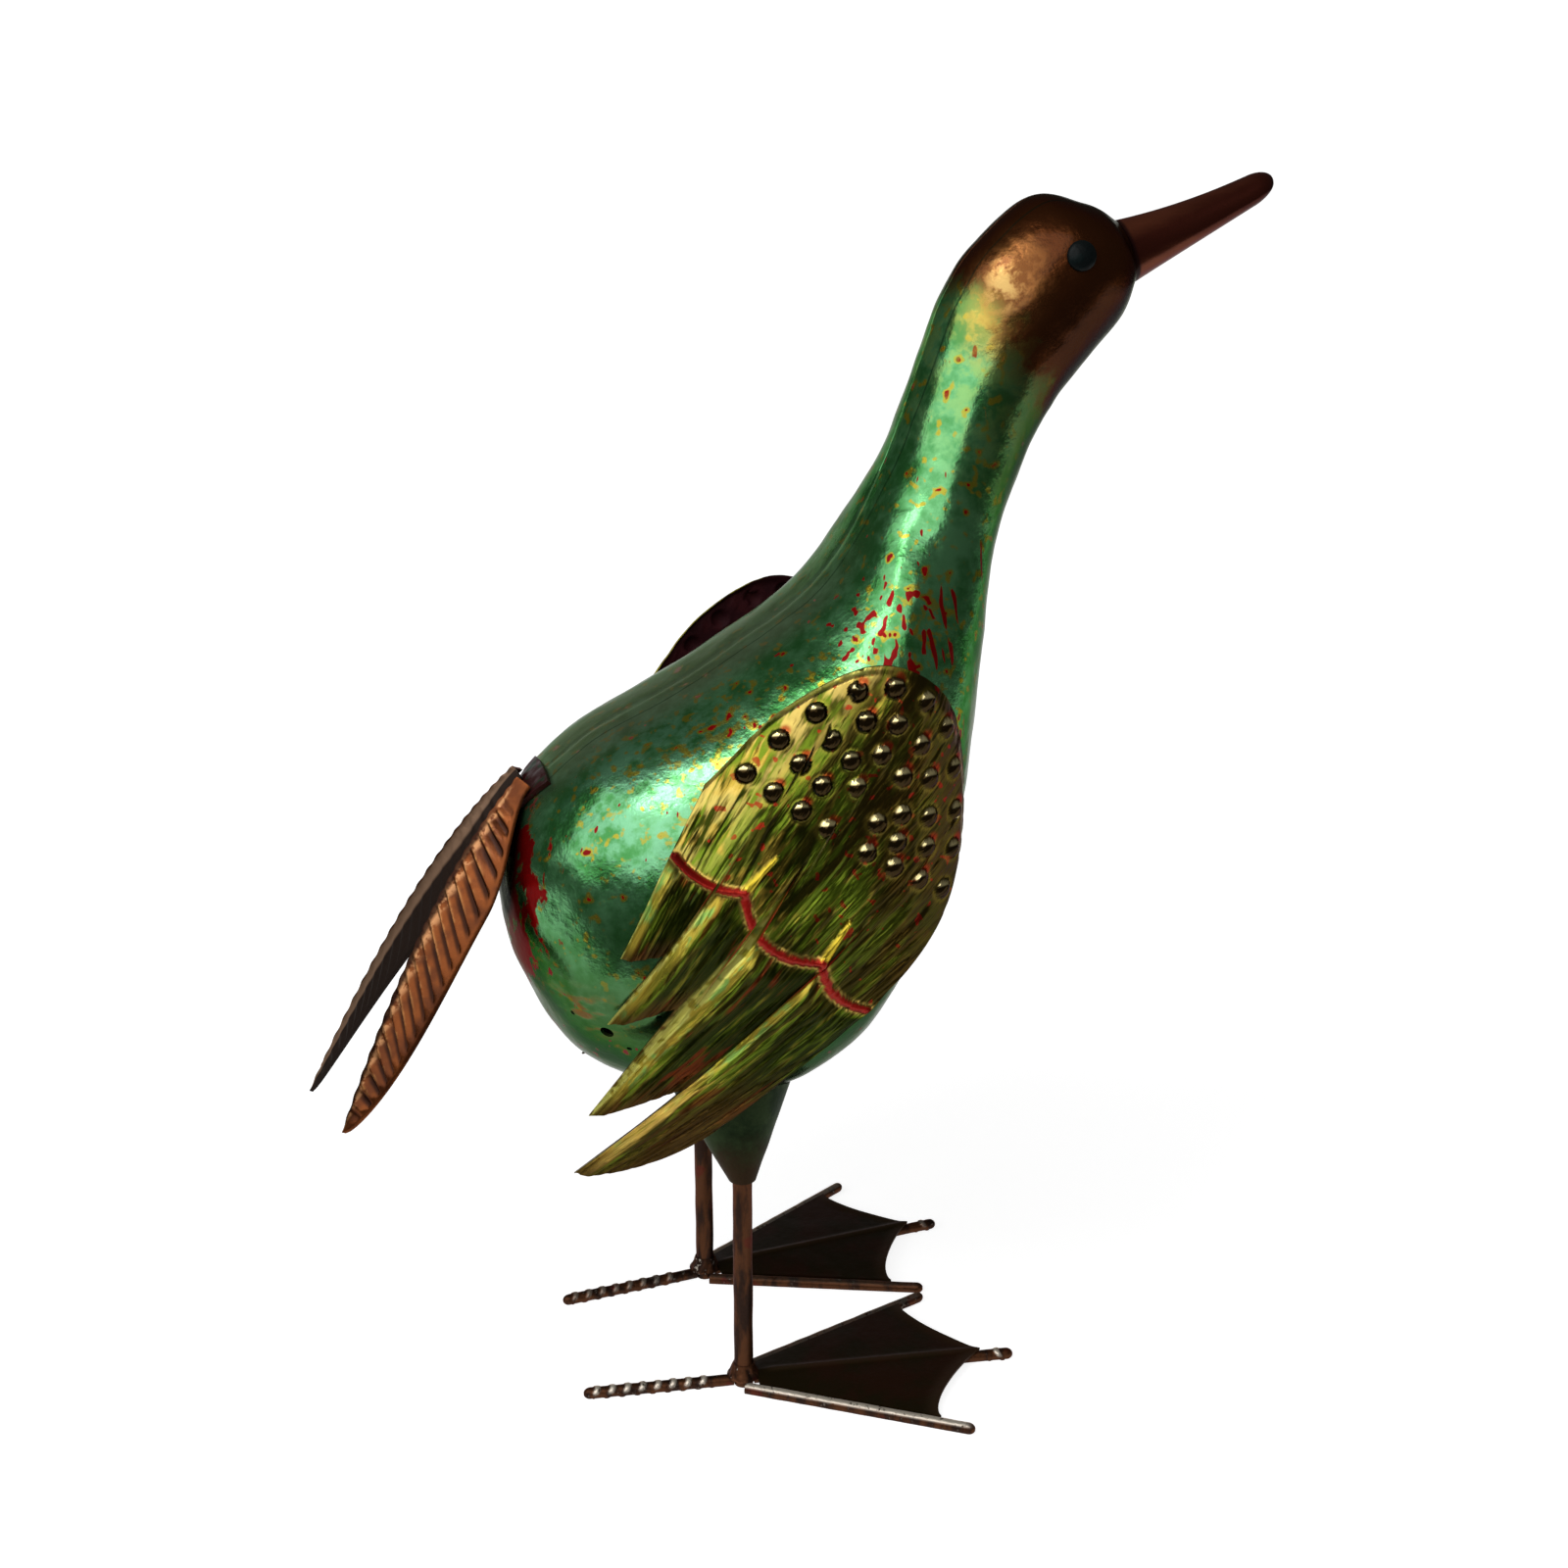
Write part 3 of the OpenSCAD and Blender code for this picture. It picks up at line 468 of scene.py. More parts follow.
class Finish:
    """One procedural finish: a material and the steps that fill its node tree."""

    def __init__(self, name):
        self.material = bpy.data.materials.new(name)
        self.material.use_nodes = True
        self.tree = self.material.node_tree
        self.tree.nodes.clear()
        # Where a point is in the row frame, in millimetres
        self.spot = self.vector("SCALE", self.node("ShaderNodeTexCoord", {}, {}, "Object"), {"Scale": 1 / MM})

    def node(self, kind, settings, sockets, output=0):
        """Adds a node, sets its settings, then gives its sockets their values or links."""
        made = self.tree.nodes.new(kind)
        for key, value in settings.items():
            setattr(made, key, value)
        for key, value in sockets.items():
            if isinstance(value, Value):
                self.tree.links.new(value.socket, made.inputs[key])
            elif hasattr(value, "__len__") and len(value) == 3 and made.inputs[key].type == "RGBA":
                made.inputs[key].default_value = (*value, 1)
            else:
                made.inputs[key].default_value = value
        return Value(self, made.outputs[output]) if made.outputs else None

    def vector(self, operation, first, others, output=0):
        return self.node("ShaderNodeVectorMath", {"operation": operation}, {0: first, **others}, output)

    def part(self, axis, vector=None):
        """One axis of the place, or of another vector."""
        return self.node("ShaderNodeSeparateXYZ", {}, {0: vector or self.spot}, axis)

    def upward(self):
        """How far the surface faces up, from -1 to 1."""
        return self.part(2, self.node("ShaderNodeNewGeometry", {}, {}, "Normal"))

    def mark(self, name):
        """A vertex attribute of the mesh."""
        return self.node("ShaderNodeAttribute", {"attribute_name": name}, {}, "Fac")

    def cloud(self, size, detail=3, rough=0.55, seed=0.0, spot=None):
        """Noise from 0 to 1 in patches of that size, or of a size for each axis."""
        spot = spot or self.spot
        if isinstance(size, tuple):
            spot, size = self.vector("DIVIDE", spot, {1: size}), 1
        moved = self.vector("ADD", spot, {1: (seed, -seed, 2 * seed)})
        return self.node("ShaderNodeTexNoise", {}, {
            "Vector": moved, "Scale": 1 / size, "Detail": detail, "Roughness": rough})

    def ramp(self, value, low, high):
        """Smooth step of a value from 0 at low to 1 at high."""
        smooth = {"interpolation_type": "SMOOTHSTEP"}
        return self.node("ShaderNodeMapRange", smooth, {0: value, 1: low, 2: high})

    def zone(self, centre, radii, core):
        """1 inside an ellipsoid's core, falling to 0 at its surface."""
        off = self.vector("DIVIDE", self.vector("SUBTRACT", self.spot, {1: centre}), {1: radii})
        return self.ramp(self.vector("LENGTH", off, {}, "Value"), 1, core)

    def mix(self, first, second, share):
        return self.node("ShaderNodeMix", {"data_type": "RGBA"}, {0: share, 6: first, 7: second}, 2)

    def coats(self, paint, *layers):
        """A first colour under layers of paint, each a colour and the share that it covers."""
        for tint, share in layers:
            paint = self.mix(paint, tint, share)
        return paint

    def bump(self, height, depth):
        """A normal from a height of 0 to 1 over that depth in millimetres."""
        return self.node("ShaderNodeBump", {}, {"Height": height, "Distance": depth * MM, "Strength": 1.0})

    def done(self, **sockets):
        """Joins the shader to the output. A socket's name has _ for each space."""
        named = {key.replace("_", " "): value for key, value in sockets.items()}
        shader = self.node("ShaderNodeBsdfPrincipled", {}, named)
        self.node("ShaderNodeOutputMaterial", {}, {"Surface": shader})
        return self.material


def past_joint(f):
    """How far a place lies past the joint of head and bill, along the bill."""
    return f.part(0) * BILL_AHEAD[0] + f.part(2) * BILL_AHEAD[1] - BILL_JOINT


def body_lacquer(colours):
    """Candy green over bright metal, flecked with olive and red, running into a copper brown head."""
    f = Finish("body_lacquer")
    x, y, z = (f.part(axis) for axis in range(3))
    broad, fine = f.cloud(30, 4, 0.6), f.cloud(6, 4, 0.65, 11)
    clumps = f.ramp(fine, 0.40, 0.60)
    # Painted shade: faces that turn downward get a darker green
    under = f.ramp(f.upward(), 0.25, -0.35)

    breast = f.zone((26, -44, 270), (36, 34, 28), 0.2)
    collar = f.zone((52, -24, 300), (26, 34, 56), 0.3)
    shoulder = f.zone((-20, -42, 242), (44, 40, 22), 0.3)
    flank = f.zone((-50, -45, 225), (52, 50, 40), 0.3)
    rear = f.zone((-95, 0, 180), (28, 60, 46), 0.5)
    # Painted shadow of the tail feathers: dark maroon on the body's rear under them
    shaded = f.zone((-97, 0, 192), (15, 24, 26), 0.7)
    smear = f.zone((-78, -38, 152), (26, 40, 16), 0.2) * f.ramp(f.cloud((16, 16, 5), 3, 0.6, 61), 0.48, 0.60)
    # Painted reflection of the pale backdrop: greyer and rougher along the top of the back
    painted_back_sheen = f.ramp(y * y, 700, 60) * f.ramp(z, 205, 228) * f.ramp(x, 34, -6)

    speck = f.cloud(4.6, 1.5, 0.5, 41) + collar * 0.035 + shoulder * 0.055 + breast * 0.03
    mist = f.cloud(3.4, 2, 0.55, 23) + flank * 0.07 + shoulder * 0.05 + breast * 0.06
    yellow = f.ramp(speck, 0.625, 0.680) | f.ramp(mist, 0.650, 0.720) * 0.8
    streaks = f.cloud((2.4, 2.4, 40), 0.5, 0.5, 5) + breast * 0.21
    daubs = f.ramp(f.cloud((7, 7, 10), 3, 0.6, 3) + rear * 0.34, 0.73, 0.79)

    rise = x * 0.785 + z * 0.62 + (broad - 0.5) * 26 + (fine - 0.5) * 16
    head = f.ramp(rise, 263, 277)
    red = (f.ramp(speck, 0.720, 0.745) | f.ramp(streaks, 0.77, 0.80) | daubs) * (1 - head)
    leafy = f.ramp(rise, 222, 262) * f.ramp(fine, 0.42, 0.58)
    # Olive brown on the throat, partly painted shade on the neck's front
    throat = f.zone((84, -10, 320), (34, 40, 52), 0.2) * (1 - head)
    # Gold where the green meets the head, partly a painted highlight on the nape
    nape = f.ramp(rise, 246, 266) * f.zone((64, -18, 362), (19, 18, 22), 0.2)
    # The head's dark brown, with a painted highlight on its side and painted shade at its front
    brown = f.coats(
        (0.072, 0.021, 0.006),
        # painted highlight on the head's side
        (colours.copper, f.zone((67, -17, 373), (17, 16, 21), 0.1) * (0.3 + clumps * 0.6)),
        ((0.42, 0.27, 0.09), f.zone((65, -17, 371), (9, 10, 13), 0.1) * clumps),
        # painted shade toward the front of the head
        ((0.034, 0.011, 0.005), f.zone((100, 0, 350), (30, 60, 30), 0.5) * 0.8))
    seam = f.ramp(y + 9, -0.5, -0.1) * f.ramp(y + 9, 0.5, 0.1) * f.ramp(z - x * 0.5, 225, 235)
    joint = f.ramp(past_joint(f), -1.4, -0.5)
    paint = f.coats(
        colours.deep_green,
        (colours.green, f.ramp(broad * 0.6 + fine * 0.4, 0.40, 0.60)),
        # A paler teal on the flank, partly a painted highlight that whitens the sheen there
        ((0.17, 0.4, 0.26), flank * clumps * 0.45),
        (colours.olive, yellow * 0.85),
        ((0.17, 0.05, 0.026), smear * 0.8),
        (colours.red, red),
        # painted shadow under the tail
        ((0.022, 0.003, 0.004), shaded),
        ((0.23, 0.33, 0.05), leafy * 0.4),
        # olive brown and painted shade on the throat
        ((0.046, 0.05, 0.012), throat * 0.85),
        # Painted shade on downward faces, kept off the red and the painted shadow
        ((0.04, 0.082, 0.026), under * 0.8 * (1 - (red | shaded | smear))),
        # painted reflection along the top of the back
        ((0.27, 0.29, 0.2), painted_back_sheen * 0.55),
        # gold and painted highlight at the nape
        ((0.42, 0.3, 0.06), nape * (0.5 + f.ramp(fine, 0.40, 0.56) * 0.5)),
        (brown, head),
        ((0.004, 0.02, 0.012), seam * 0.6),
        ((0.014, 0.003, 0.004), joint))
    return f.done(
        Base_Color=paint, Metallic=0.88 - red * 0.25 * (1 - rear) + rear * 0.1, Specular_IOR_Level=0.2,
        Roughness=0.15 + fine * 0.15 + painted_back_sheen * 0.15 + head * 0.06 + red * 0.15 + joint * 0.4,
        Specular_Tint=(0.25, 0.29, 0.21, 1), Coat_Weight=0.06, Coat_Roughness=0.12,
        Normal=f.bump(fine * 0.75 + f.cloud(2.2, 2, 0.5, 9) * 0.25, 0.3))


def bill_lacquer(colours):
    """Dark copper with a darker band along the side."""
    f = Finish("bill_lacquer")
    lined = f.cloud((30, 5, 5), 4, 0.6, 4)
    height = f.part(2) - f.part(0) * 0.42 + (lined - 0.5) * 5
    band = f.ramp(height, 326, 331) * f.ramp(height, 341, 335)
    base = f.ramp(past_joint(f), 2.6, 1.2)
    paint = f.coats(colours.bill, ((0.04, 0.006, 0.004), band * 0.85), ((0.012, 0.003, 0.003), base * 0.9))
    return f.done(
        Base_Color=paint, Metallic=0.7, Roughness=0.28 + lined * 0.12 + base * 0.3, Specular_IOR_Level=0.2,
        Specular_Tint=(0.38, 0.28, 0.23, 1), Coat_Weight=0.1, Coat_Roughness=0.2, Normal=f.bump(lined, 0.12))


def eye_enamel(colours):
    """Dull black teal."""
    f = Finish("eye_enamel")
    tint = f.cloud(4, 2)
    paint = f.mix(colours.eye, (0.002, 0.006, 0.006), f.ramp(tint, 0.45, 0.6))
    return f.done(
        Base_Color=paint, Roughness=0.35 + tint * 0.2, Specular_IOR_Level=0.1, Normal=f.bump(tint, 0.4))


def wing_lacquer(colours):
    """Gold under green and brown glazes, with dark dots, a red bead, and pale crests and edges as painted
    highlights.
    """
    f = Finish("wing_lacquer")
    lay = f.node("ShaderNodeCombineXYZ", {}, {0: f.mark("across"), 1: f.mark("along"), 2: 0.0})
    streak, wide = f.cloud((1.7, 20, 1), 3, 0.6, 7, lay), f.cloud((5, 32, 1), 2, 0.6, 19, lay)
    patch, fleck = f.cloud(12, 3, 0.6, 3), f.cloud(3.6, 1.5, 0.5, 31)
    dot, bead, covert = (f.mark(name) for name in ("dot", "bead", "covert"))
    below, between = 1 - covert, covert * (1 - dot)

    ahead = f.part(0) + (wide - 0.5) * 50 + (patch - 0.5) * 50
    brown = f.mix(colours.wing_brown, (0.05, 0.03, 0.005), f.ramp(patch, 0.42, 0.60))
    # Lime on the covert's rear, partly wear and partly a painted highlight where the light falls
    rubbed_and_lit = f.ramp(ahead, -14, -38) * between * f.ramp(streak, 0.42, 0.60)
    lime = f.mix((0.5, 0.34, 0.045), (0.21, 0.27, 0.03), f.ramp(patch, 0.46, 0.56))
    # How far a place lies toward the upper rear edge, which shades as turned down and is painted a pale
    # brassy gold as a painted highlight
    dished = (f.part(2) - f.part(0)) * 0.707 - 158 | 0
    brass_highlight = f.ramp(dished, 13, 32) * between * f.ramp(streak + (patch - 0.5) * 0.8, 0.42, 0.62)
    # Painted shade on the falling side of each feather, below its crest
    shade = below * f.ramp(f.mark("fall"), 0.0, 0.25) * (0.66 + f.ramp(streak, 0.60, 0.44) * 0.32)
    rust = below * f.ramp(f.cloud((4, 30, 1), 2, 0.5, 53, lay), 0.57, 0.63)
    # Painted highlight: the rising facet of each feather's crest is pale
    pale = f.mix(colours.crest, (0.24, 0.43, 0.085), f.ramp(patch + (streak - 0.5) * 0.6, 0.52, 0.64))
    facet = f.mark("facet") * (0.55 + f.ramp(streak, 0.35, 0.55) * 0.45)
    # Gold on the fourth feather's crest, partly a painted highlight
    gilt = f.mark("gilt") * f.ramp(streak, 0.34, 0.54)
    flecks = f.ramp(fleck + f.mark("dotted") * 0.05, 0.67, 0.70) * covert
    paint = f.coats(
        colours.wing_green,
        (colours.gold, f.ramp(streak + (wide - 0.5) * 0.5, 0.46, 0.62)),
        ((0.014, 0.016, 0.001), f.ramp(wide + (streak - 0.5) * 0.6, 0.44, 0.54) * 0.92),
        (brown, f.ramp(ahead, -14, 26) * covert * 0.88),
        ((0.012, 0.018, 0.002), f.ramp(ahead, -34, 0) * covert * 0.32),
        # wear and painted highlight on the covert's rear
        (lime, rubbed_and_lit * 0.9),
        # painted highlight at the upper rear edge
        ((0.68, 0.5, 0.13), brass_highlight * 0.7),
        # painted shade below the crests
        ((0.012, 0.018, 0.001), shade),
        ((0.13, 0.016, 0.004), rust * 0.7),
        # painted highlight on the crest facets
        (pale, facet),
        # gold and painted highlight on the fourth crest
        ((0.56, 0.36, 0.07), gilt * 0.9),
        # Dark feather ends, and painted shade on the fourth feather's lower side
        ((0.06, 0.028, 0.006), f.mark("tip") * 0.85),
        ((0.26, 0.01, 0.006), flecks * 0.8),
        ((0.3, 0.22, 0.035), f.mark("ring") * 0.3),
        ((0.26, 0.01, 0.005), f.mark("dab") * 0.8),
        ((0.032, 0.019, 0.006), dot),
        # Painted highlight: pale brassy gold on the upward faces of the dots
        ((0.78, 0.66, 0.32), dot * f.ramp(f.upward(), 0.30, 0.50)),
        ((0.4, 0.27, 0.06), f.mark("rim")),
        # Painted highlight along the rounded edge and the feathers' upper edges
        ((0.64, 0.62, 0.14), f.mark("brim") * f.ramp(fleck, 0.36, 0.52)),
        ((0.62, 0.46, 0.035), f.mark("stroke")),
        ((0.36, 0.01, 0.008), bead))
    relief = streak * 0.75 + patch * 0.2 - dished * dished * 0.015 * between
    return f.done(
        Base_Color=paint, Metallic=0.88 - bead * 0.5 - (rubbed_and_lit * 0.2 | facet * 0.35 | gilt * 0.3) * 0.88,
        Roughness=0.22 + patch * 0.14 - dot * 0.12, Specular_Tint=(0.4, 0.34, 0.16, 1),
        Coat_Weight=0.05, Coat_Roughness=0.1, Normal=f.bump(relief, 1.0))


def wing_lining(colours):
    """Matt maroon primer on the inner faces."""
    f = Finish("wing_lining")
    cloud = f.cloud(9)
    paint = f.mix(colours.maroon, (0.034, 0.004, 0.006), f.ramp(cloud, 0.4, 0.65))
    return f.done(
        Base_Color=paint, Roughness=0.62 + cloud * 0.2, Specular_IOR_Level=0.12, Normal=f.bump(cloud, 0.1))


def tail_copper(colours):
    """Copper lacquer, dark in the grooves, with painted shade between the feathers and a painted highlight on
    the rib.
    """
    f = Finish("tail_copper")
    inner, fine = f.mark("inner"), f.cloud(3, 3, 0.6, 8)
    paint = f.coats(
        colours.tail,
        ((0.08, 0.022, 0.007), f.ramp(f.cloud(12), 0.42, 0.60)),
        # Dark grooves, and a painted shadow along the fold
        ((0.01, 0.003, 0.002), f.mark("groove") * 0.9),
        # Painted highlight on the lip of each barb
        ((0.4, 0.18, 0.06), f.mark("lip") * f.ramp(fine, 0.36, 0.56) * 0.75),
        # Painted highlight beside the fold
        ((0.5, 0.25, 0.11), f.mark("rib") * f.ramp(fine, 0.40, 0.55) * 0.8),
        # The vanes turned to the middle: a grey brown painted sheen near the fold, then black painted shade
        ((0.19, 0.115, 0.072), f.ramp(inner, 0.0, 0.06)),
        ((0.003, 0.002, 0.002), f.ramp(inner, 0.24, 0.34)))
    return f.done(
        Base_Color=paint, Metallic=0.82 - f.ramp(inner, 0, 0.4) * 0.7,
        Roughness=0.26 + fine * 0.16 + inner * 0.4, Specular_Tint=(0.5, 0.3, 0.2, 1),
        Coat_Weight=0.06, Coat_Roughness=0.2, Normal=f.bump(fine, 0.15))


def strap_lacquer():
    """Maroon and green runs over the strap that carries the tail."""
    f = Finish("strap_lacquer")
    cloud = f.cloud(5, 3, 0.6, 2)
    paint = f.mix((0.034, 0.004, 0.004), (0.012, 0.03, 0.012), f.ramp(cloud, 0.52, 0.60))
    return f.done(
        Base_Color=paint, Metallic=0.4, Specular_IOR_Level=0.25, Roughness=0.34 + cloud * 0.2,
        Normal=f.bump(cloud, 0.3))


def thigh_lacquer():
    """Dull green that turns brown toward the leg."""
    f = Finish("thigh_lacquer")
    cloud, fine = f.cloud(10, 4, 0.6), f.cloud(2.5, 3, 0.6, 6)
    paint = f.coats(
        (0.012, 0.026, 0.01),
        ((0.028, 0.048, 0.018), f.ramp(cloud, 0.4, 0.62)),
        ((0.036, 0.02, 0.01), f.ramp(f.part(2) + (cloud - 0.5) * 22, 101, 84)))
    return f.done(
        Base_Color=paint, Metallic=0.45, Roughness=0.42 + fine * 0.2, Specular_IOR_Level=0.25,
        Specular_Tint=(0.4, 0.42, 0.3, 1), Normal=f.bump(fine, 0.2))


def rod_bronze(colours, name, wear_and_highlight):
    """Brown bronze on rod, bare in random spots by its share of wear, with a painted highlight where marked
    bright.
    """
    f = Finish(name)
    cloud, fine = f.cloud((5, 5, 22), 4, 0.6), f.cloud(1.6, 3, 0.6, 5)
    # Random wear spots, and a painted highlight where the mesh is marked bright
    rubbed_and_lit = f.ramp(fine * 0.5 + cloud * 0.5, 0.58, 0.63) * wear_and_highlight | f.mark("bright") * f.ramp(fine, 0.30, 0.44)
    paint = f.coats(
        colours.bronze,
        ((0.022, 0.011, 0.008), f.ramp(cloud, 0.42, 0.6)),
        ((0.1, 0.012, 0.01), f.ramp(f.cloud(9, 2, 0.5, 14), 0.62, 0.7) * 0.5),
        (colours.bare, rubbed_and_lit))
    return f.done(
        Base_Color=paint, Metallic=0.75, Roughness=0.32 + fine * 0.2, Specular_Tint=(0.5, 0.36, 0.26, 1),
        Normal=f.bump(fine, 0.18))


def web_bronze(colours):
    """Dark olive bronze sheet, browner toward its edges and lighter along its fold as a painted highlight."""
    f = Finish("web_bronze")
    cloud, fine = f.cloud(20, 4, 0.6), f.cloud(3, 3, 0.6, 12)
    paint = f.coats(
        colours.web,
        ((0.024, 0.009, 0.004), f.ramp(cloud, 0.42, 0.62)),
        # browner edges, and a painted highlight along the fold
        ((0.06, 0.034, 0.02), f.mark("border") * 0.5))
    return f.done(
        Base_Color=paint, Metallic=0.5, Roughness=0.42 + fine * 0.18, Specular_IOR_Level=0.15,
        Specular_Tint=(0.45, 0.36, 0.24, 1), Normal=f.bump(fine * 0.6 + cloud * 0.4, 0.2))


class DuckOperator(bpy.types.Operator):
    bl_options = {"REGISTER", "UNDO"}

    def values(self, context):
        return context.scene.duck_shape, context.scene.duck_colours


class DUCK_OT_body(DuckOperator):
    """Hammer the two halves of the body and drill the vents"""

    bl_idname = "duck.body"
    bl_label = "Body Shells"

    def execute(self, context):
        shape, colours = self.values(context)
        finish = body_lacquer(colours)
        size, depth = shape.hammer_size / MM, shape.hammer_depth / MM
        u = np.linspace(0, LAST_STATION, ROWS_PER_STATION * LAST_STATION + 1)[:, None]
        middle = np.linspace(2, 178, BODY_COLUMNS)
        angles = np.concatenate([[0, SEAM_ANGLE], middle, [180 - SEAM_ANGLE, 180]])[None]
        skin, normal = body_at(u, angles), body_normal(u, angles)
        normal[:, [0, -1], 1] = 0
        normal = unit(normal)
        crease = SEAM_DEPTH * ((angles == 0) | (angles == 180))
        for side, left in SIDES:
            struck = grain(skin * (1, -1 if left else 1, 1), size)
            struck = struck + FINE_MARK_SHARE * grain(skin, size / FINE_MARK_DIVISOR, 7)
            faces = (skin + normal * (struck * depth - crease)[..., None], skin - normal * SHEET_WALL)
            faces = (in_frame(np.minimum(face, (np.inf, 0, np.inf)), left) for face in faces)
            mesh = sheet_mesh(f"body_{side}", *faces)
            half = piece(f"body_{side}", mesh, "body_paint", f"body_shell_{side}", finish)
            if not left:
                self.drill(context, half)
        return {"FINISHED"}

    def drill(self, context, half):
        """Cuts the vents through the belly of the right half."""
        made = bmesh.new()
        for u, angle, radius in VENTS:
            turn = Vector(body_normal(u, angle)).to_track_quat("Z", "Y").to_matrix().to_4x4()
            turn.translation = Vector(in_frame(body_at(u, angle))) * MM
            bmesh.ops.create_cone(
                made, cap_ends=True, segments=VENT_SIDES, radius1=radius * MM, radius2=radius * MM,
                depth=VENT_DEPTH * MM, matrix=turn)
        mesh = bpy.data.meshes.new("vents")
        made.to_mesh(mesh)
        made.free()
        drills = bpy.data.objects.new("vents", mesh)
        context.scene.collection.objects.link(drills)
        cut = half.modifiers.new("vents", "BOOLEAN")
        cut.operation = "DIFFERENCE"
        cut.object = drills
        drilled = bpy.data.meshes.new_from_object(half.evaluated_get(context.evaluated_depsgraph_get()))
        half.modifiers.clear()
        bare = half.data
        half.data = drilled
        drilled.name = bare.name + "_drilled"
        bpy.data.meshes.remove(bare)
        bpy.data.objects.remove(drills)
        bpy.data.meshes.remove(mesh)


def bill_grid(share, cut):
    """Points of one half of the bill, upper for share 1 and lower for -1, cut in by the wall."""
    back, low = BODY_STATIONS[-1][0:2], BODY_STATIONS[-1][2:4]
    ahead = unit(np.array([back[1] - low[1], low[0] - back[0]]))
    tip = (back + low) / 2 + (BILL_LENGTH - BILL_TIP[1] / 4, BILL_RISE)
    nose = mixed(BILL_NOSE, 1, np.sin(np.linspace(0.08, 1, BILL_NOSE_ROWS) * np.pi / 2))
    s = np.concatenate([np.linspace(0, BILL_NOSE, BILL_ROWS), nose])[:, None, None]
    s = s * (BILL_INNER_REACH if cut else 1)
    arc = np.clip(1 - ((s - BILL_NOSE) / (1 - BILL_NOSE)) ** 2, 0.02, 1)
    blunt = np.where(s < BILL_NOSE, 1, np.sqrt(arc))
    top = mixed(back - BILL_TOP_LAP * ahead, tip + (0, BILL_TIP[1] / 2), s) - (0, BILL_DIP) * hump(s)
    under = mixed(low + BILL_UNDER_GAP * ahead, tip - (0, BILL_TIP[1] / 2), s)
    split = mixed(under, top, BILL_SPLIT)
    reach = mixed(split, top if share > 0 else under, blunt) - split
    kept = np.maximum(0.2, 1 - cut / np.linalg.norm(reach, axis=-1, keepdims=True))
    half = np.maximum(0.3, mixed(BODY_STATIONS[-1][4], BILL_TIP[0], np.sqrt(s)) / 2 * blunt - cut)
    angle = np.linspace(0, np.pi, BILL_COLUMNS)[None, :, None]
    side = split + reach * kept * np.sin(angle)
    return np.concatenate([side[..., :1], half * np.cos(angle) * -share, side[..., 1:] + BELLY_Z], -1)


class DUCK_OT_bill(DuckOperator):
    """Shape the two halves of the bill"""

    bl_idname = "duck.bill"
    bl_label = "Bill"

    def execute(self, context):
        finish = bill_lacquer(context.scene.duck_colours)
        for name, share in (("upper", 1), ("lower", -1)):
            faces = (in_frame(bill_grid(share, cut)) for cut in (0, SHEET_WALL))
            mesh = sheet_mesh(f"bill_{name}", *faces)
            piece(f"bill_{name}_half", mesh, "bill_paint", f"bill_{name}", finish)
        return {"FINISHED"}


class DUCK_OT_eyes(DuckOperator):
    """Seat the domed eyes on the head"""

    bl_idname = "duck.eyes"
    bl_label = "Eyes"

    def execute(self, context):
        finish = eye_enamel(context.scene.duck_colours)
        normal = body_normal(EYE_STATION, EYE_ANGLE)
        seat = body_out(EYE_STATION, EYE_ANGLE, EYE_GAP)
        level = unit(np.cross((0, 0, 1), normal))
        rise = np.cross(normal, level)
        tilt = np.concatenate([[0.06], np.linspace(0.2, np.pi / 2 - 0.08, EYE_ROWS)])
        reach = np.concatenate([[EYE_RADIUS], EYE_RADIUS * np.cos(tilt)])[:, None, None]
        lift = np.concatenate([[0], EYE_RIM + (EYE_BULGE - EYE_RIM) * np.sin(tilt)])[:, None, None]
        turn = circle(EYE_COLUMNS)[..., None]
        rings = seat + reach * (np.cos(turn) * level + np.sin(turn) * rise) + lift * normal
        for side, left in SIDES:
            mesh = capped_mesh(f"eye_{side}", in_frame(rings, left))
            piece(f"eye_{side}_dome", mesh, "eye_paint", f"eye_{side}", finish)
        return {"FINISHED"}


def wing_base(plan):
    """The wing sheet's inner face over plan points: bent round the breast and resting on the body."""
    x, z = plan[..., 0], plan[..., 1]
    own = np.where(
        x < WING_LEVEL, WING_OFFSET - (x - WING_LEVEL) ** 2 / (2 * WING_REAR_BEND),
        WING_OFFSET - np.maximum(x - WING_TURN, 0) ** 2 / (2 * WING_FRONT_BEND))
    body = half_width(x, z) + WING_GAP
    out = (own + body + np.sqrt((own - body) ** 2 + WING_BLEND**2)) / 2
    return joined(x, -out, z + BELLY_Z)


def wing_plan():
    """Plan points of the wing from edge to feather ends, with each column's feather and share across it."""
    k = np.repeat(np.arange(4), [n + 1 for n in FEATHER_COLUMNS])
    f = np.concatenate([np.linspace(0, 1, n + 1) for n in FEATHER_COLUMNS])
    last = FEATHER_STARTS[k + 1] - np.where(k < 3, FEATHER_SLIT, 0)
    edge = lofted(WING_EDGE, mixed(FEATHER_STARTS[k], last, f))
    tip, notch = FEATHER_TIPS[k], FEATHER_NOTCHES[k]
    fall = unit(notch - tip)
    bulge = (np.where(k == 3, FOURTH_BULGE, 0) * hump(f))[:, None] * np.stack([fall[:, 1], -fall[:, 0]], -1)
    end = mixed(tip, notch, f[:, None]) + bulge
    t = np.linspace(0, 1, WING_ROWS + 1)[:, None, None]
    return mixed(edge, end, t), k, f


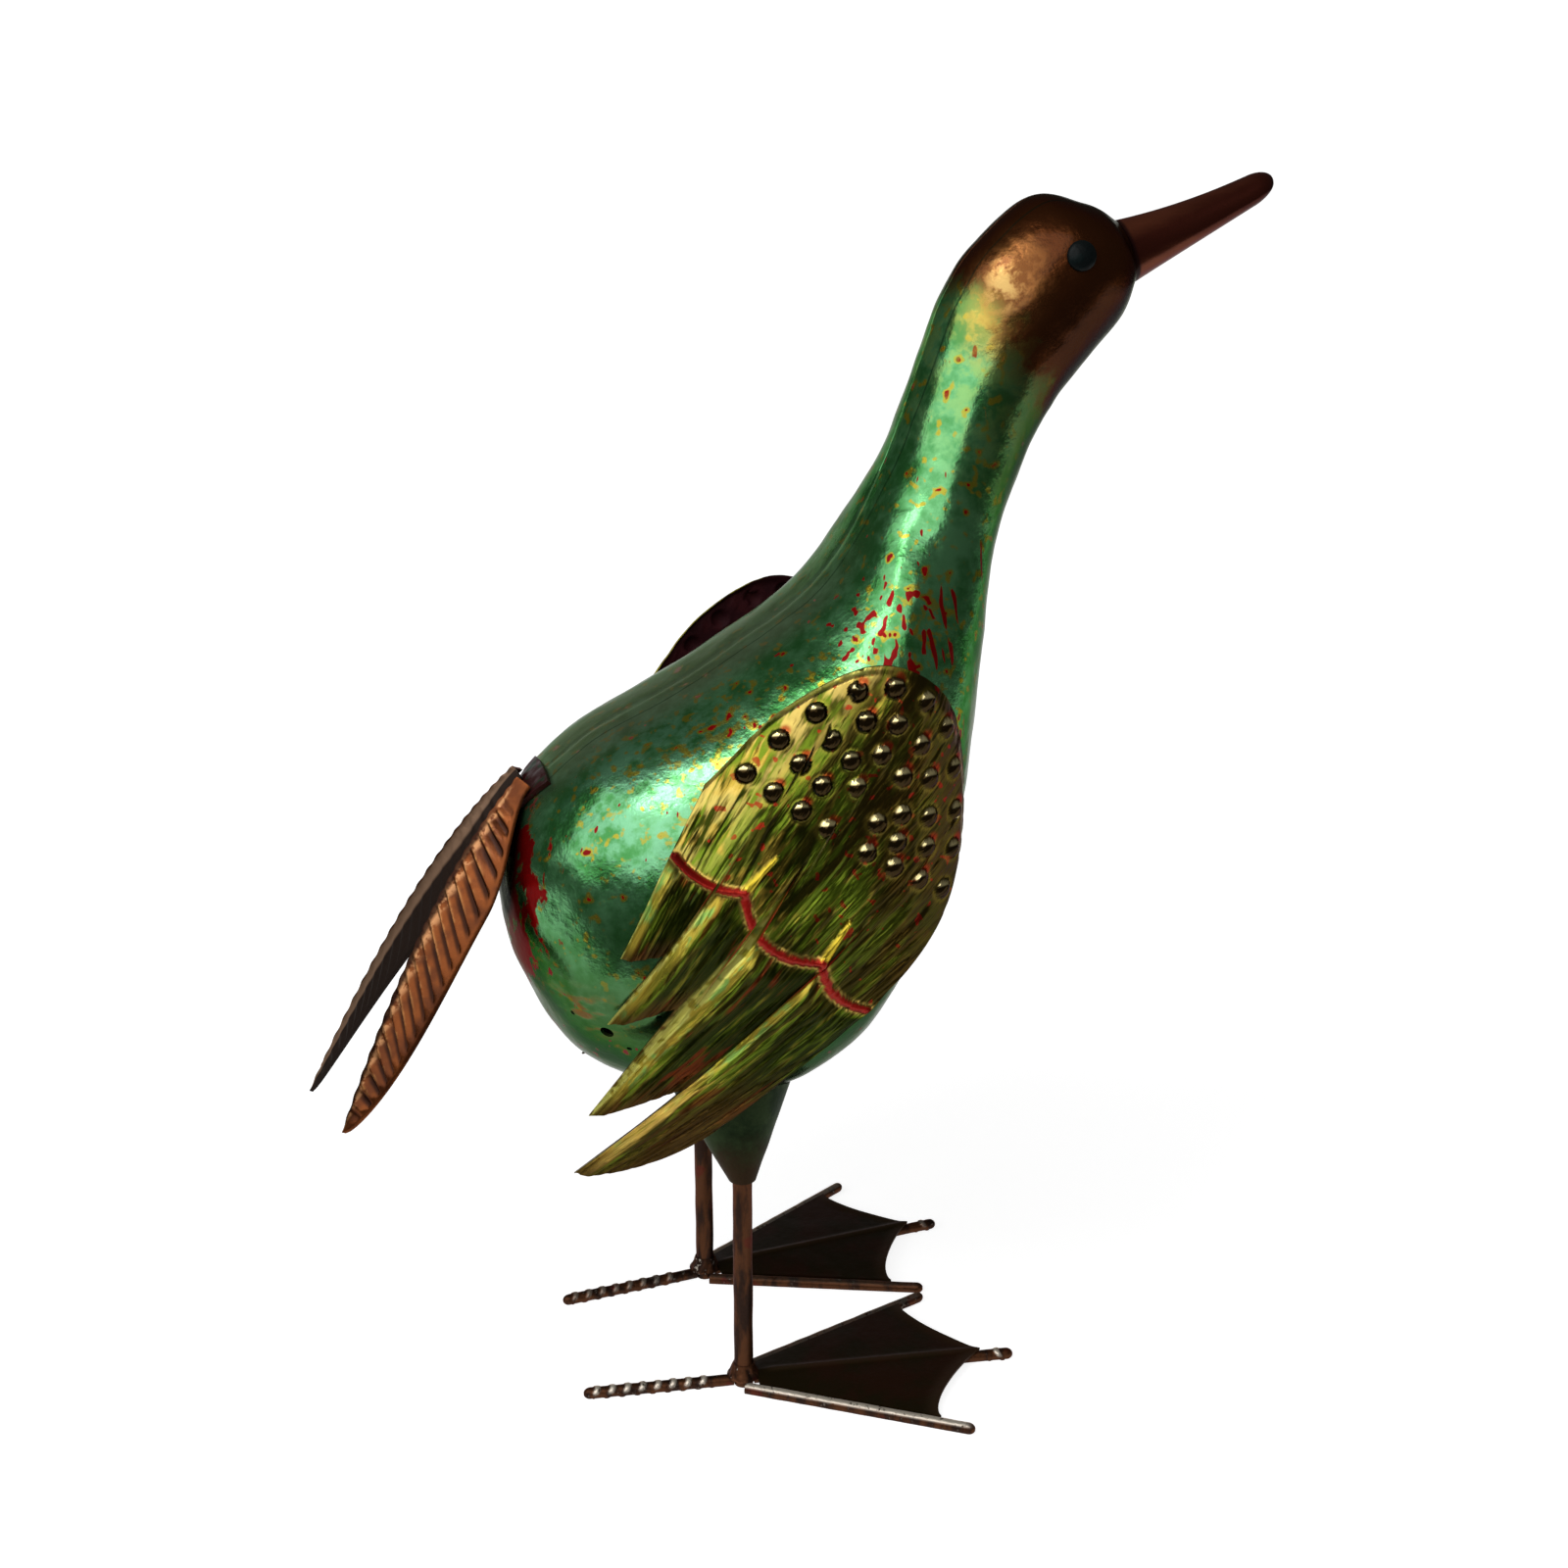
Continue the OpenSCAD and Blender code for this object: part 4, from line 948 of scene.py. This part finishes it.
def bead_line():
    """The scalloped bead as plan points, sagging toward the feather tips."""
    share = np.linspace(0, 1, 16, endpoint=False)[:, None]
    line = []
    for a, b, sag in zip(BEAD_CORNERS, BEAD_CORNERS[1:], BEAD_SAGS):
        run = unit(b - a)
        line.append(mixed(a, b, share) + sag * hump(share) * np.array([run[1], -run[0]]))
    return np.vstack([*line, BEAD_CORNERS[-1:]])


def line_distance(plan, line):
    """Distance of plan points from a line of points, below 0 on its right side, and the share along it."""
    best = np.full(plan.shape[:-1], np.inf)
    signed, share = np.zeros_like(best), np.zeros_like(best)
    for i, (a, b) in enumerate(zip(line, line[1:])):
        run = b - a
        f = np.clip(((plan - a) @ run) / (run @ run), 0, 1)
        off = plan - a - f[..., None] * run
        far = np.hypot(off[..., 0], off[..., 1])
        side = run[0] * (plan[..., 1] - a[1]) - run[1] * (plan[..., 0] - a[0])
        # Where two stretches share the nearest point, the one whose line lies farther off gives the side
        rank = far - 1e-5 * np.abs(side) / np.hypot(*run)
        near = rank < best
        best = np.where(near, rank, best)
        signed = np.where(near, np.where(side < 0, -far, far), signed)
        share = np.where(near, (i + f) / (len(line) - 1), share)
    return signed, share


def dot_places(pitch):
    """Plan points of the punched dots, in rows that follow the rounded edge."""
    places = []
    for row, count in enumerate(DOT_ROWS):
        edge = lofted(WING_EDGE, np.linspace(*DOT_SPAN, count))
        places.append(edge + unit(DOT_CENTRE - edge) * (DOT_MARGIN + pitch * row))
    return np.vstack(places)


def wing_relief(shape, plan, k, f):
    """Height of the pressed relief over the wing sheet, and the marks that its finish reads."""
    radius = shape.dot_radius / MM
    base = wing_base(plan)
    near = np.full(plan.shape[:-1], np.inf)
    dab = np.zeros_like(near)
    for i, spot in enumerate(wing_base(dot_places(shape.dot_pitch / MM))):
        off = (base - spot) / radius
        near = np.minimum(near, np.linalg.norm(off, axis=-1) * radius)
        if i * 0.618 % 1 > 0.3:
            dab = np.maximum(dab, eased(0.75, 0.3, np.hypot(off[..., 0] - 0.6, off[..., 2] - 0.9)))
    dot = np.clip(1 - (near / radius) ** 2, 0, 1) ** 0.6
    # On the lines between feathers, only the middle of a dot is raised
    dot = np.where(((f == 0) | (f == 1)) & (dot < 0.7), 0, dot)
    ring = np.exp(-(((near - RING_RADIUS * radius) / (RING_WIDTH * radius)) ** 2))
    dotted = eased(3.2 * radius, 1.2 * radius, near)

    off, _ = line_distance(plan, bead_line())
    half = shape.bead_width / MM / 2
    bead = np.sqrt(np.clip(1 - (off / half) ** 2, 0, 1))
    rim = np.exp(-(((np.abs(off) - 1.3 * half) / (0.3 * half)) ** 2))
    covert = eased(-half, half, off)

    t = np.linspace(0, 1, plan.shape[0])[:, None]
    fourth = k == 3
    crest = np.where(fourth, mixed(FEATHER_CREST[3], GILT_CREST, eased(0.45, 0.95, t)), FEATHER_CREST[k])
    side = f / crest
    fall = np.clip((f - crest) / (1 - crest), 0, 1)
    roof = np.where(f < crest, side, (1 - fall) ** 1.15)
    below = eased(half, CREST_REACH, -off)

    fan = plan - FAN_CENTRE
    along = np.hypot(fan[..., 0], fan[..., 1])
    across = np.arctan2(fan[..., 1], fan[..., 0]) * FAN_REACH
    lay = joined(across / CHASED_WIDTH, along / CHASED_LENGTH, 0.0)
    strokes = eased(0.0, 0.4, grain(lay, 1, 3.1)) * (1 - dotted) * (1 - bead)
    stroke = np.zeros_like(off)
    for a, b in CUSP_STROKES:
        far, share = line_distance(plan, np.array([a, b], float))
        wide = mixed(CUSP_START, CUSP_END, share)
        stroke = np.maximum(stroke, np.sqrt(np.clip(1 - (far / wide) ** 2, 0, 1)))

    rolled = EDGE_ROLL * eased(EDGE_ROLL_SHARE, 0, t)
    pressed = (
        shape.ridge_height * roof * below + shape.dot_height * dot + shape.bead_height * bead
        - shape.stroke_depth * strokes * (1 - stroke))
    lift = pressed / MM + COVERT_STEP * covert - rolled - RING_DEPTH * ring + CUSP_HEIGHT * stroke
    # Painted shade: the fourth feather's lower side beyond its crest
    tip = 0.9 * fourth * eased(0.60, 0.84, t) * eased(1.1, 1.7, side)
    # The pale facets, edges and fourth crest are painted highlights, and fall is the painted shade below each
    # crest
    return lift, {
        "dot": eased(0.05, 0.35, dot), "dab": dab, "ring": ring, "dotted": dotted * covert,
        "bead": eased(0.05, 0.4, bead), "rim": rim, "stroke": stroke, "covert": covert,
        "facet": eased(1.0, 0.55, side) * eased(half, FACET_REACH, -off), "fall": fall * below,
        "along": along, "across": across,
        "brim": np.maximum(eased(0.022, 0.008, t) * (k == 0), eased(0.045, 0.012, f) * (k < 3) * below),
        "tip": np.maximum(eased(0.90, 1.0, t), tip),
        "gilt": fourth * eased(0.62, 0.78, t) * eased(1.15, 0.9, side)}


class DUCK_OT_wings(DuckOperator):
    """Press the two wing plates with their dots, scalloped bead and feathers"""

    bl_idname = "duck.wings"
    bl_label = "Wings"

    def execute(self, context):
        shape, colours = self.values(context)
        finishes = wing_lacquer(colours), wing_lining(colours)
        plan, k, f = wing_plan()
        lift, marks = wing_relief(shape, plan, k, f)
        for (side, left), turn in zip(SIDES, (0, LEFT_WING_TURN)):
            base = wing_base(WING_PEAK + turned(plan - WING_PEAK, turn))
            normals = [grid_normals(base[:, k == n], (0, -1, 0)) for n in range(4)]
            normal = np.concatenate(normals, axis=1)
            faces = (in_frame(base + normal * (lift + wall)[..., None], left) for wall in (WING_WALL, 0))
            mesh = sheet_mesh(f"wing_{side}", *faces, marks=marks, crease=60)
            piece(f"wing_{side}_plate", mesh, "wing_paint", f"wing_{side}", *finishes)
        return {"FINISHED"}


def tail_grid(shape, side, hand, lift):
    """Points of one folded tail feather at a lift from its middle face, and the marks for its finish."""
    fold, droop = math.radians(TAIL_FOLD), math.radians(TAIL_DROOP)
    root_lift = STRAP_TOP + TAIL_ROOT_SHARE * TAIL_VANE * math.sin(fold) + TAIL_HALF_WALL + TAIL_GAP
    root = body_out(TAIL_ROOT_STATION, 0.0, root_lift) * (1, 0, 1) + (0, TAIL_ROOT_SIDE * hand, 0)
    end = np.array(TAIL_TIPS[side]) + (0, 0, BELLY_Z)
    bend = np.array([
        root[0] - TAIL_START * math.cos(droop), mixed(root[1], end[1], TAIL_BEND_SIDE),
        root[2] - TAIL_START * math.sin(droop)])
    s = np.linspace(0, 1, shape.barb_count * TAIL_BARB_ROWS + 1)[:, None]
    even = np.linspace(-1, 1, TAIL_COLUMNS)[None]
    v = mixed(even, np.sin(even * np.pi / 2), 0.4)
    a = np.abs(v)
    t = np.minimum(1, s + BARB_SLANT * a * eased(0, 0.4, s) * eased(1, 0.6, s))[..., None]
    rib = (1 - t) ** 2 * root + 2 * t * (1 - t) * bend + t * t * end
    run = unit((1 - t) * (bend - root) + t * (end - bend))
    across = unit(np.cross(run, (-1, 0, 0.6)))
    up = np.cross(across, run)
    taper = np.maximum(0.004, 1 - t[..., 0] ** TAIL_BLUNTNESS[side]) ** 0.8
    width = TAIL_VANE * mixed(TAIL_ROOT_SHARE, 1, eased(0, TAIL_RISE, s)) * taper

    phase = (s * shape.barb_count) % 1
    barb = 0.5 - 0.5 * np.cos(np.pi * np.minimum(phase / 0.7, (1 - phase) / 0.3))
    edge = eased(0.96, 0.78, a)
    inner = np.clip(-v * hand, 0, 1) + 0 * s
    shown = eased(0.05, 0.15, s) * eased(1, 0.93, s) * np.minimum(1, 4 * a)
    shown = shown * (1 - 0.85 * eased(0, 0.12, inner))
    relief = (barb - 0.5) * 2 * shape.barb_depth / MM * shown * edge
    beaded = 0.6 + 0.25 * np.sin(2 * np.pi * s * shape.barb_count)
    spine = np.exp(-((v * width / SPINE_WIDTH) ** 2)) * beaded
    height = relief + spine * SPINE_HEIGHT + lift - width * a * math.sin(fold)
    grid = rib + across * (width * v * math.cos(fold))[..., None] + up * height[..., None]

    groove = eased(0.5, 0.1, barb) * shown * edge * eased(0.0, 0.4, a)
    # A dark band on the outer vane beside the fold: painted shadow of the other vane
    crease = eased(0.11, 0.06, v * hand) * (inner < 0.02) * eased(0.1, 0.25, s)
    return grid, {
        "groove": np.maximum(groove, crease),
        "lip": np.exp(-(((phase - 0.68) / 0.10) ** 2)) * shown * eased(0.8, 0.35, a),
        "rib": np.exp(-(((v * hand - 0.13) / 0.05) ** 2)) * eased(0.02, 0.08, s),
        "inner": inner}


class DUCK_OT_tail(DuckOperator):
    """Fold the two tail feathers and the strap that carries them"""

    bl_idname = "duck.tail"
    bl_label = "Tail"

    def execute(self, context):
        shape, colours = self.values(context)
        finish = tail_copper(colours)
        for (side, _), hand in zip(SIDES, (-1, 1)):
            outer, marks = tail_grid(shape, side, hand, TAIL_HALF_WALL)
            inner, _ = tail_grid(shape, side, hand, -TAIL_HALF_WALL)
            mesh = sheet_mesh(f"tail_{side}", in_frame(outer), in_frame(inner), marks=marks, crease=60)
            piece(f"tail_{side}_vane", mesh, "tail_paint", f"tail_feather_{side}", finish)
        u = np.linspace(*STRAP_STATIONS, STRAP_ROWS)[:, None]
        angle = np.linspace(-STRAP_HALF_ANGLE, STRAP_HALF_ANGLE, STRAP_COLUMNS)[None]
        lump = STRAP_LUMP * grain(body_at(u, angle), STRAP_LUMP_SIZE)[..., None]
        faces = (in_frame(body_out(u, angle, lift)) for lift in (STRAP_TOP + lump, STRAP_GAP))
        mesh = sheet_mesh("tail_strap", *faces)
        piece("tail_strap_plate", mesh, "tail_paint", "tail_strap", strap_lacquer())
        return {"FINISHED"}


def thigh_wall(cut, step):
    """Points of a thigh cone from the leg up to the belly, cut in by the wall, with its leg a step ahead."""
    a = circle(THIGH_COLUMNS)
    station = body_at(THIGH_STATION + 0.5, THIGH_ANGLE) - body_at(THIGH_STATION - 0.5, THIGH_ANGLE)
    share = 1 - 2 * cut / THIGH_LENGTH
    reach = THIGH_LENGTH / 2 / np.linalg.norm(station) * share
    mouth = body_out(
        THIGH_STATION + reach * np.cos(a), THIGH_ANGLE - THIGH_SPAN * share * np.sin(a), THIGH_GAP)
    ring = ringed(LEG_RADIUS + LEG_FIT + THIGH_WALL - cut, -a, THIGH_HEIGHT) + (step, -LEG_SPACING / 2, 0)
    return mixed(ring, mouth, np.linspace(0, 1, THIGH_ROWS)[:, None, None])


class DUCK_OT_thighs(DuckOperator):
    """Roll the thigh cones between belly and legs"""

    bl_idname = "duck.thighs"
    bl_label = "Thighs"

    def execute(self, context):
        finish = thigh_lacquer()
        for side, left in SIDES:
            step = STRIDE if left else 0
            outer, inner = thigh_wall(0, step), thigh_wall(THIGH_WALL, step)
            dent = THIGH_DENT * grain(outer, THIGH_DENT_SIZE) * hump(np.linspace(0, 1, THIGH_ROWS))[:, None]
            away = unit((outer - (step, -LEG_SPACING / 2, 0)) * (1, 1, 0))
            faces = (in_frame(face, left) for face in (outer + away * dent[..., None], inner))
            mesh = sheet_mesh(f"thigh_{side}", *faces, True)
            piece(f"thigh_{side}_cone", mesh, "thigh_paint", f"thigh_{side}", finish)
        return {"FINISHED"}


def rod_rings(start, end, ribs_from, wear_and_highlight, shape, seed):
    """Rings of a toe rod along x, flat below and ribbed from ribs_from, and how bright each point is painted
    as a highlight.
    """
    nose = end - TOE_NOSE * (1 - np.sin(np.linspace(0.15, 1, 8) * np.pi / 2))
    x = np.concatenate([np.arange(start, end - 2.0, TOE_STEP), nose])[:, None]
    a = circle(TOE_COLUMNS)
    blunt = np.sqrt(np.clip(1 - (np.clip(x - (end - TOE_NOSE), 0, None) / 2.5) ** 2, 0.05, 1))
    phase = (x - ribs_from + RIB_SLANT * np.sin(a)) / (shape.rib_pitch / MM)
    rib = np.clip(np.cos(2 * np.pi * phase) * 1.8 - 0.4, 0, 1) * eased(0, 2, x - ribs_from) * (x < end - 3)
    spot = joined(x, TOE_RADIUS * np.cos(a), TOE_RADIUS * np.sin(a))
    r = (TOE_RADIUS + rib * shape.rib_height / MM + TOE_DENT * grain(spot, TOE_DENT_SIZE, seed)) * blunt
    rings = joined(x, r * np.cos(a), np.maximum(0, TOE_Z + r * np.sin(a)))
    # Painted highlight along the top of the rod near its end, in the toe's share
    top = wear_and_highlight * eased(0.55, 0.85, np.sin(a)) * eased(end, end - 4, x)
    # Painted highlight on the upper side of each rib
    return rings, np.maximum(rib * eased(0.1, 0.6, np.sin(a)), top)


class DUCK_OT_legs(DuckOperator):
    """Draw the leg rods and the toe rods"""

    bl_idname = "duck.legs"
    bl_label = "Legs and Toes"

    def execute(self, context):
        shape, colours = self.values(context)
        leg_finish = rod_bronze(colours, "leg_bronze", 0.0)
        toe_finish = rod_bronze(colours, "toe_bronze", 0.15)
        a = circle(LEG_COLUMNS)
        z = np.linspace(0, LEG_TOP, LEG_ROWS)[:, None]
        hub = LEG_RADIUS + TOE_GAP
        # Each toe's start, end, first rib, share painted with a highlight on top, angle and place beside the
        # leg
        toes = {
            "back": (hub, BACK_TOE, BACK_TOE * 0.18, 0, 180, 0),
            "middle": (hub, MIDDLE_TOE, WEB_REACH + 2, 0, 0, 0),
            "inner": (0, SIDE_TOE, SIDE_TOE, 0.15, TOE_ANGLE, TOE_SIDE),
            "outer": (0, SIDE_TOE, SIDE_TOE, 1, -TOE_ANGLE, -TOE_SIDE),
        }
        for (side, left), leg_seed in zip(SIDES, (2, 5)):
            dents = LEG_DENT * grain(ringed(LEG_RADIUS, a, z), LEG_DENT_SIZE, leg_seed)
            rod = ringed(LEG_RADIUS - LEG_DENT + dents, a, z)
            mesh = capped_mesh(f"leg_{side}", at_foot(rod, left))
            piece(f"leg_{side}_rod", mesh, "leg_paint", f"leg_{side}", leg_finish)
            for seed, (toe, (start, end, ribs, wear_and_highlight, angle, off)) in enumerate(toes.items()):
                rings, bright = rod_rings(start, end, ribs, wear_and_highlight, shape, seed + 0.5)
                rings = at_foot(turned(rings, angle) + (0, off, 0), left)
                # The far foot's painted highlights are weaker
                mesh = capped_mesh(f"toe_{toe}_{side}", rings, {"bright": bright * (0.3 if left else 1.0)})
                piece(f"toe_{toe}_{side}_rod", mesh, "toe_paint", f"toe_{toe}_{side}", toe_finish)
        return {"FINISHED"}


class DUCK_OT_webs(DuckOperator):
    """Stretch the webs between the toes"""

    bl_idname = "duck.webs"
    bl_label = "Webs"

    def execute(self, context):
        finish = web_bronze(context.scene.duck_colours)
        # Where the web meets a side toe: beside the rod's middle line, and over the ground
        flank, low = TOE_RADIUS * 0.75, TOE_Z + TOE_RADIUS * 0.62
        turn = math.radians(TOE_ANGLE)
        v = np.linspace(-1, 1, WEB_COLUMNS)[None]
        a = np.abs(v)
        i = np.linspace(0, 1, WEB_ROWS)[:, None]
        r = mixed(WEB_START, mixed(WEB_REACH, WEB_SIDE_REACH, a) - WEB_SCALLOP * hump(a) ** 0.7, i)
        x = mixed(r, r * math.cos(turn) + flank * math.sin(turn), a)
        y = v * (TOE_SIDE + r * math.sin(turn) - flank * math.cos(turn))
        top = joined(x, y, mixed(TOE_TOP + TOE_GAP, low, a**1.3))
        wave = WEB_WAVE * grain(top, WEB_WAVE_SIZE) * hump(a) * eased(0, 0.3, i)
        lip = WEB_LIP * eased(0.93, 1, i) * hump(a)
        fold = np.exp(-((y / WEB_FOLD_WIDTH) ** 2)) * eased(0, 0.1, i)
        under = top + (0, 0, 1) * (np.maximum(wave + lip, 0) + WEB_FOLD_HEIGHT * fold)[..., None]
        # The fold over the middle toe shares the edge mark, a painted highlight along the ridge
        marks = {"border": np.maximum(eased(0.9, 1, i), fold)}
        for side, left in SIDES:
            faces = (at_foot(under + (0, 0, wall), left) for wall in (WEB_WALL, 0))
            mesh = sheet_mesh(f"web_{side}", *faces, marks=marks)
            piece(f"web_{side}_sheet", mesh, "web_paint", f"web_{side}", finish)
        return {"FINISHED"}


class DUCK_OT_welds(DuckOperator):
    """Run the weld beads round the ankles"""

    bl_idname = "duck.welds"
    bl_label = "Ankle Welds"

    def execute(self, context):
        finish = rod_bronze(context.scene.duck_colours, "weld_bronze", 0.6)
        a = circle(WELD_COLUMNS)
        t = np.linspace(0, 1, WELD_ROWS)[:, None]
        rise = TOE_TOP + TOE_GAP + WELD_HEIGHT * t**1.2
        for (side, left), seed in zip(SIDES, (1, 6)):
            lumps = WELD_LUMP * grain(ringed(6, a, rise), WELD_LUMP_SIZE, seed)
            lumps = lumps + WELD_RIPPLE * np.sin(WELD_RIPPLES * a + 5 * t)
            r = WELD_CORE + WELD_WIDTH * (1 - t**0.8) ** 0.9 + lumps * (1 - t) * t * 3
            faces = (at_foot(ringed(reach, a, rise), left) for reach in (r, WELD_CORE))
            mesh = sheet_mesh(f"weld_{side}", *faces, True)
            piece(f"weld_{side}_bead", mesh, "weld_paint", f"ankle_weld_{side}", finish)
        return {"FINISHED"}


# The studio's lengths are metres, and its angles turn from the duck's right side and rise from the floor
CAMERA_AIM = Vector((-0.001, 0, 0.208))
CAMERA_TURN, CAMERA_RISE = math.radians(-15), math.radians(18.5)
CAMERA_LENS, CAMERA_SENSOR, CAMERA_NEAR = 45, 36, 0.01
KEY_TURN, KEY_RISE, KEY_DISTANCE = math.radians(-50), math.radians(40), 1.15
KEY_SIZE = (2.05, 1.1)
SPARK_TURN, SPARK_RISE, SPARK_DISTANCE = math.radians(-58), math.radians(57), 1.1
SPARK_SIZE = (0.2, 0.2)
FLOOR_FRONT, FLOOR_HALF_WIDTH, FLOOR_LIT = 0.3, 1.5, 0.82
BACKDROP_FAR, BACKDROP_HEIGHT, BACKDROP_LIT = 2.4, 0.8, 1.0
PAPER_GREY = (0.55, 0.55, 0.55)
# The floor turns from lit to full white between these distances from the origin, in millimetres
WHITE_FROM, WHITE_FULL = 250, 900


def direction(turn, rise):
    """Unit vector from the duck toward a place at that turn and rise."""
    return Vector((math.sin(turn) * math.cos(rise), -math.cos(turn) * math.cos(rise), math.sin(rise)))


def studio_white(name, lit):
    """Paper that camera, mirrors and glass see as white. It keeps the duck's shadow where lit is below 1."""
    f = Finish(name)
    seen = 0
    for ray in ("Is Camera Ray", "Is Glossy Ray", "Is Transmission Ray"):
        seen = seen | f.node("ShaderNodeLightPath", {}, {}, ray)
    far = f.vector("LENGTH", f.spot, {}, "Value")
    glow = (f.ramp(far, WHITE_FROM, WHITE_FULL) * (1 - lit) + lit) * seen
    paper = f.node("ShaderNodeBsdfDiffuse", {}, {"Color": PAPER_GREY})
    white = f.node("ShaderNodeEmission", {}, {"Color": f.mix((0.0, 0.0, 0.0), (1.0, 1.0, 1.0), glow)})
    both = f.node("ShaderNodeAddShader", {}, {0: paper, 1: white})
    f.node("ShaderNodeOutputMaterial", {}, {"Surface": both})
    return f.material


class DUCK_OT_stage(DuckOperator):
    """Set up the floor, backdrop, light and camera"""

    bl_idname = "duck.stage"
    bl_label = "Studio"

    def execute(self, context):
        studio = context.scene.duck_studio
        far, wide = BACKDROP_FAR, FLOOR_HALF_WIDTH
        floor = self.plane("floor", studio_white("floor_paper", FLOOR_LIT), [
            (-wide, -FLOOR_FRONT, 0), (wide, -FLOOR_FRONT, 0), (wide, far, 0), (-wide, far, 0)])
        wall = self.plane("backdrop", studio_white("backdrop_paper", BACKDROP_LIT), [
            (-wide, far, 0), (wide, far, 0), (wide, far, BACKDROP_HEIGHT), (-wide, far, BACKDROP_HEIGHT)])

        self.lamp("key", KEY_SIZE, studio.key_level, direction(KEY_TURN, KEY_RISE) * KEY_DISTANCE)
        self.lamp("spark", SPARK_SIZE, studio.spark_level, direction(SPARK_TURN, SPARK_RISE) * SPARK_DISTANCE)

        view = bpy.data.cameras.new("photo_view")
        view.lens, view.sensor_width = CAMERA_LENS, CAMERA_SENSOR
        view.sensor_fit = "HORIZONTAL"
        view.clip_start = CAMERA_NEAR
        away = direction(CAMERA_TURN, CAMERA_RISE) * studio.camera_distance
        context.scene.camera = self.aimed("photo_view", view, away)

        world = bpy.data.worlds.new("studio")
        context.scene.world = world
        world.use_nodes = True
        grey = world.node_tree.nodes["Background"].inputs["Color"]
        grey.default_value = (studio.surround, studio.surround, studio.surround, 1)
        context.scene.view_settings.view_transform = "Standard"
        return {"FINISHED"}

    def plane(self, name, finish, corners):
        """A flat sheet of paper that is square to the camera."""
        mesh = bpy.data.meshes.new(name)
        mesh.from_pydata(corners, [], [(0, 1, 2, 3)])
        mesh.materials.append(finish)
        made = bpy.data.objects.new(name, mesh)
        made.rotation_euler = (0, 0, CAMERA_TURN)
        bpy.context.scene.collection.objects.link(made)
        return made

    def lamp(self, name, size, level, away):
        """A rectangular light that faces the duck."""
        data = bpy.data.lights.new(name, "AREA")
        data.shape = "RECTANGLE"
        data.size, data.size_y = size
        data.energy = level
        self.aimed(name, data, away)

    def aimed(self, name, data, away):
        """An object away from the camera's aim that looks at it."""
        made = bpy.data.objects.new(name, data)
        made.location = CAMERA_AIM + away
        made.rotation_euler = (-away).to_track_quat("-Z", "Y").to_euler()
        bpy.context.scene.collection.objects.link(made)
        return made


PIECES = (
    DUCK_OT_body, DUCK_OT_bill, DUCK_OT_eyes, DUCK_OT_wings, DUCK_OT_tail, DUCK_OT_thighs, DUCK_OT_legs,
    DUCK_OT_webs, DUCK_OT_welds, DUCK_OT_stage)


class DUCK_PT_panel(bpy.types.Panel):
    bl_label = "Duck Statue"
    bl_idname = "DUCK_PT_panel"
    bl_space_type = "VIEW_3D"
    bl_region_type = "UI"
    bl_category = "Duck"

    def draw(self, context):
        for made in PIECES:
            self.layout.operator(made.bl_idname)
        for group in (context.scene.duck_shape, context.scene.duck_colours, context.scene.duck_studio):
            box = self.layout.box()
            for key in group.bl_rna.properties.keys():
                if key not in ("rna_type", "name"):
                    box.prop(group, key)


CLASSES = (DuckShape, DuckColours, DuckStudio, *PIECES, DUCK_PT_panel)


def register():
    for made in CLASSES:
        bpy.utils.register_class(made)
    bpy.types.Scene.duck_shape = PointerProperty(type=DuckShape)
    bpy.types.Scene.duck_colours = PointerProperty(type=DuckColours)
    bpy.types.Scene.duck_studio = PointerProperty(type=DuckStudio)


def unregister():
    del bpy.types.Scene.duck_studio
    del bpy.types.Scene.duck_colours
    del bpy.types.Scene.duck_shape
    for made in reversed(CLASSES):
        bpy.utils.unregister_class(made)


def main():
    register()
    for made in PIECES:
        group, name = made.bl_idname.split(".")
        getattr(getattr(bpy.ops, group), name)()


if __name__ == "__main__":
    main()
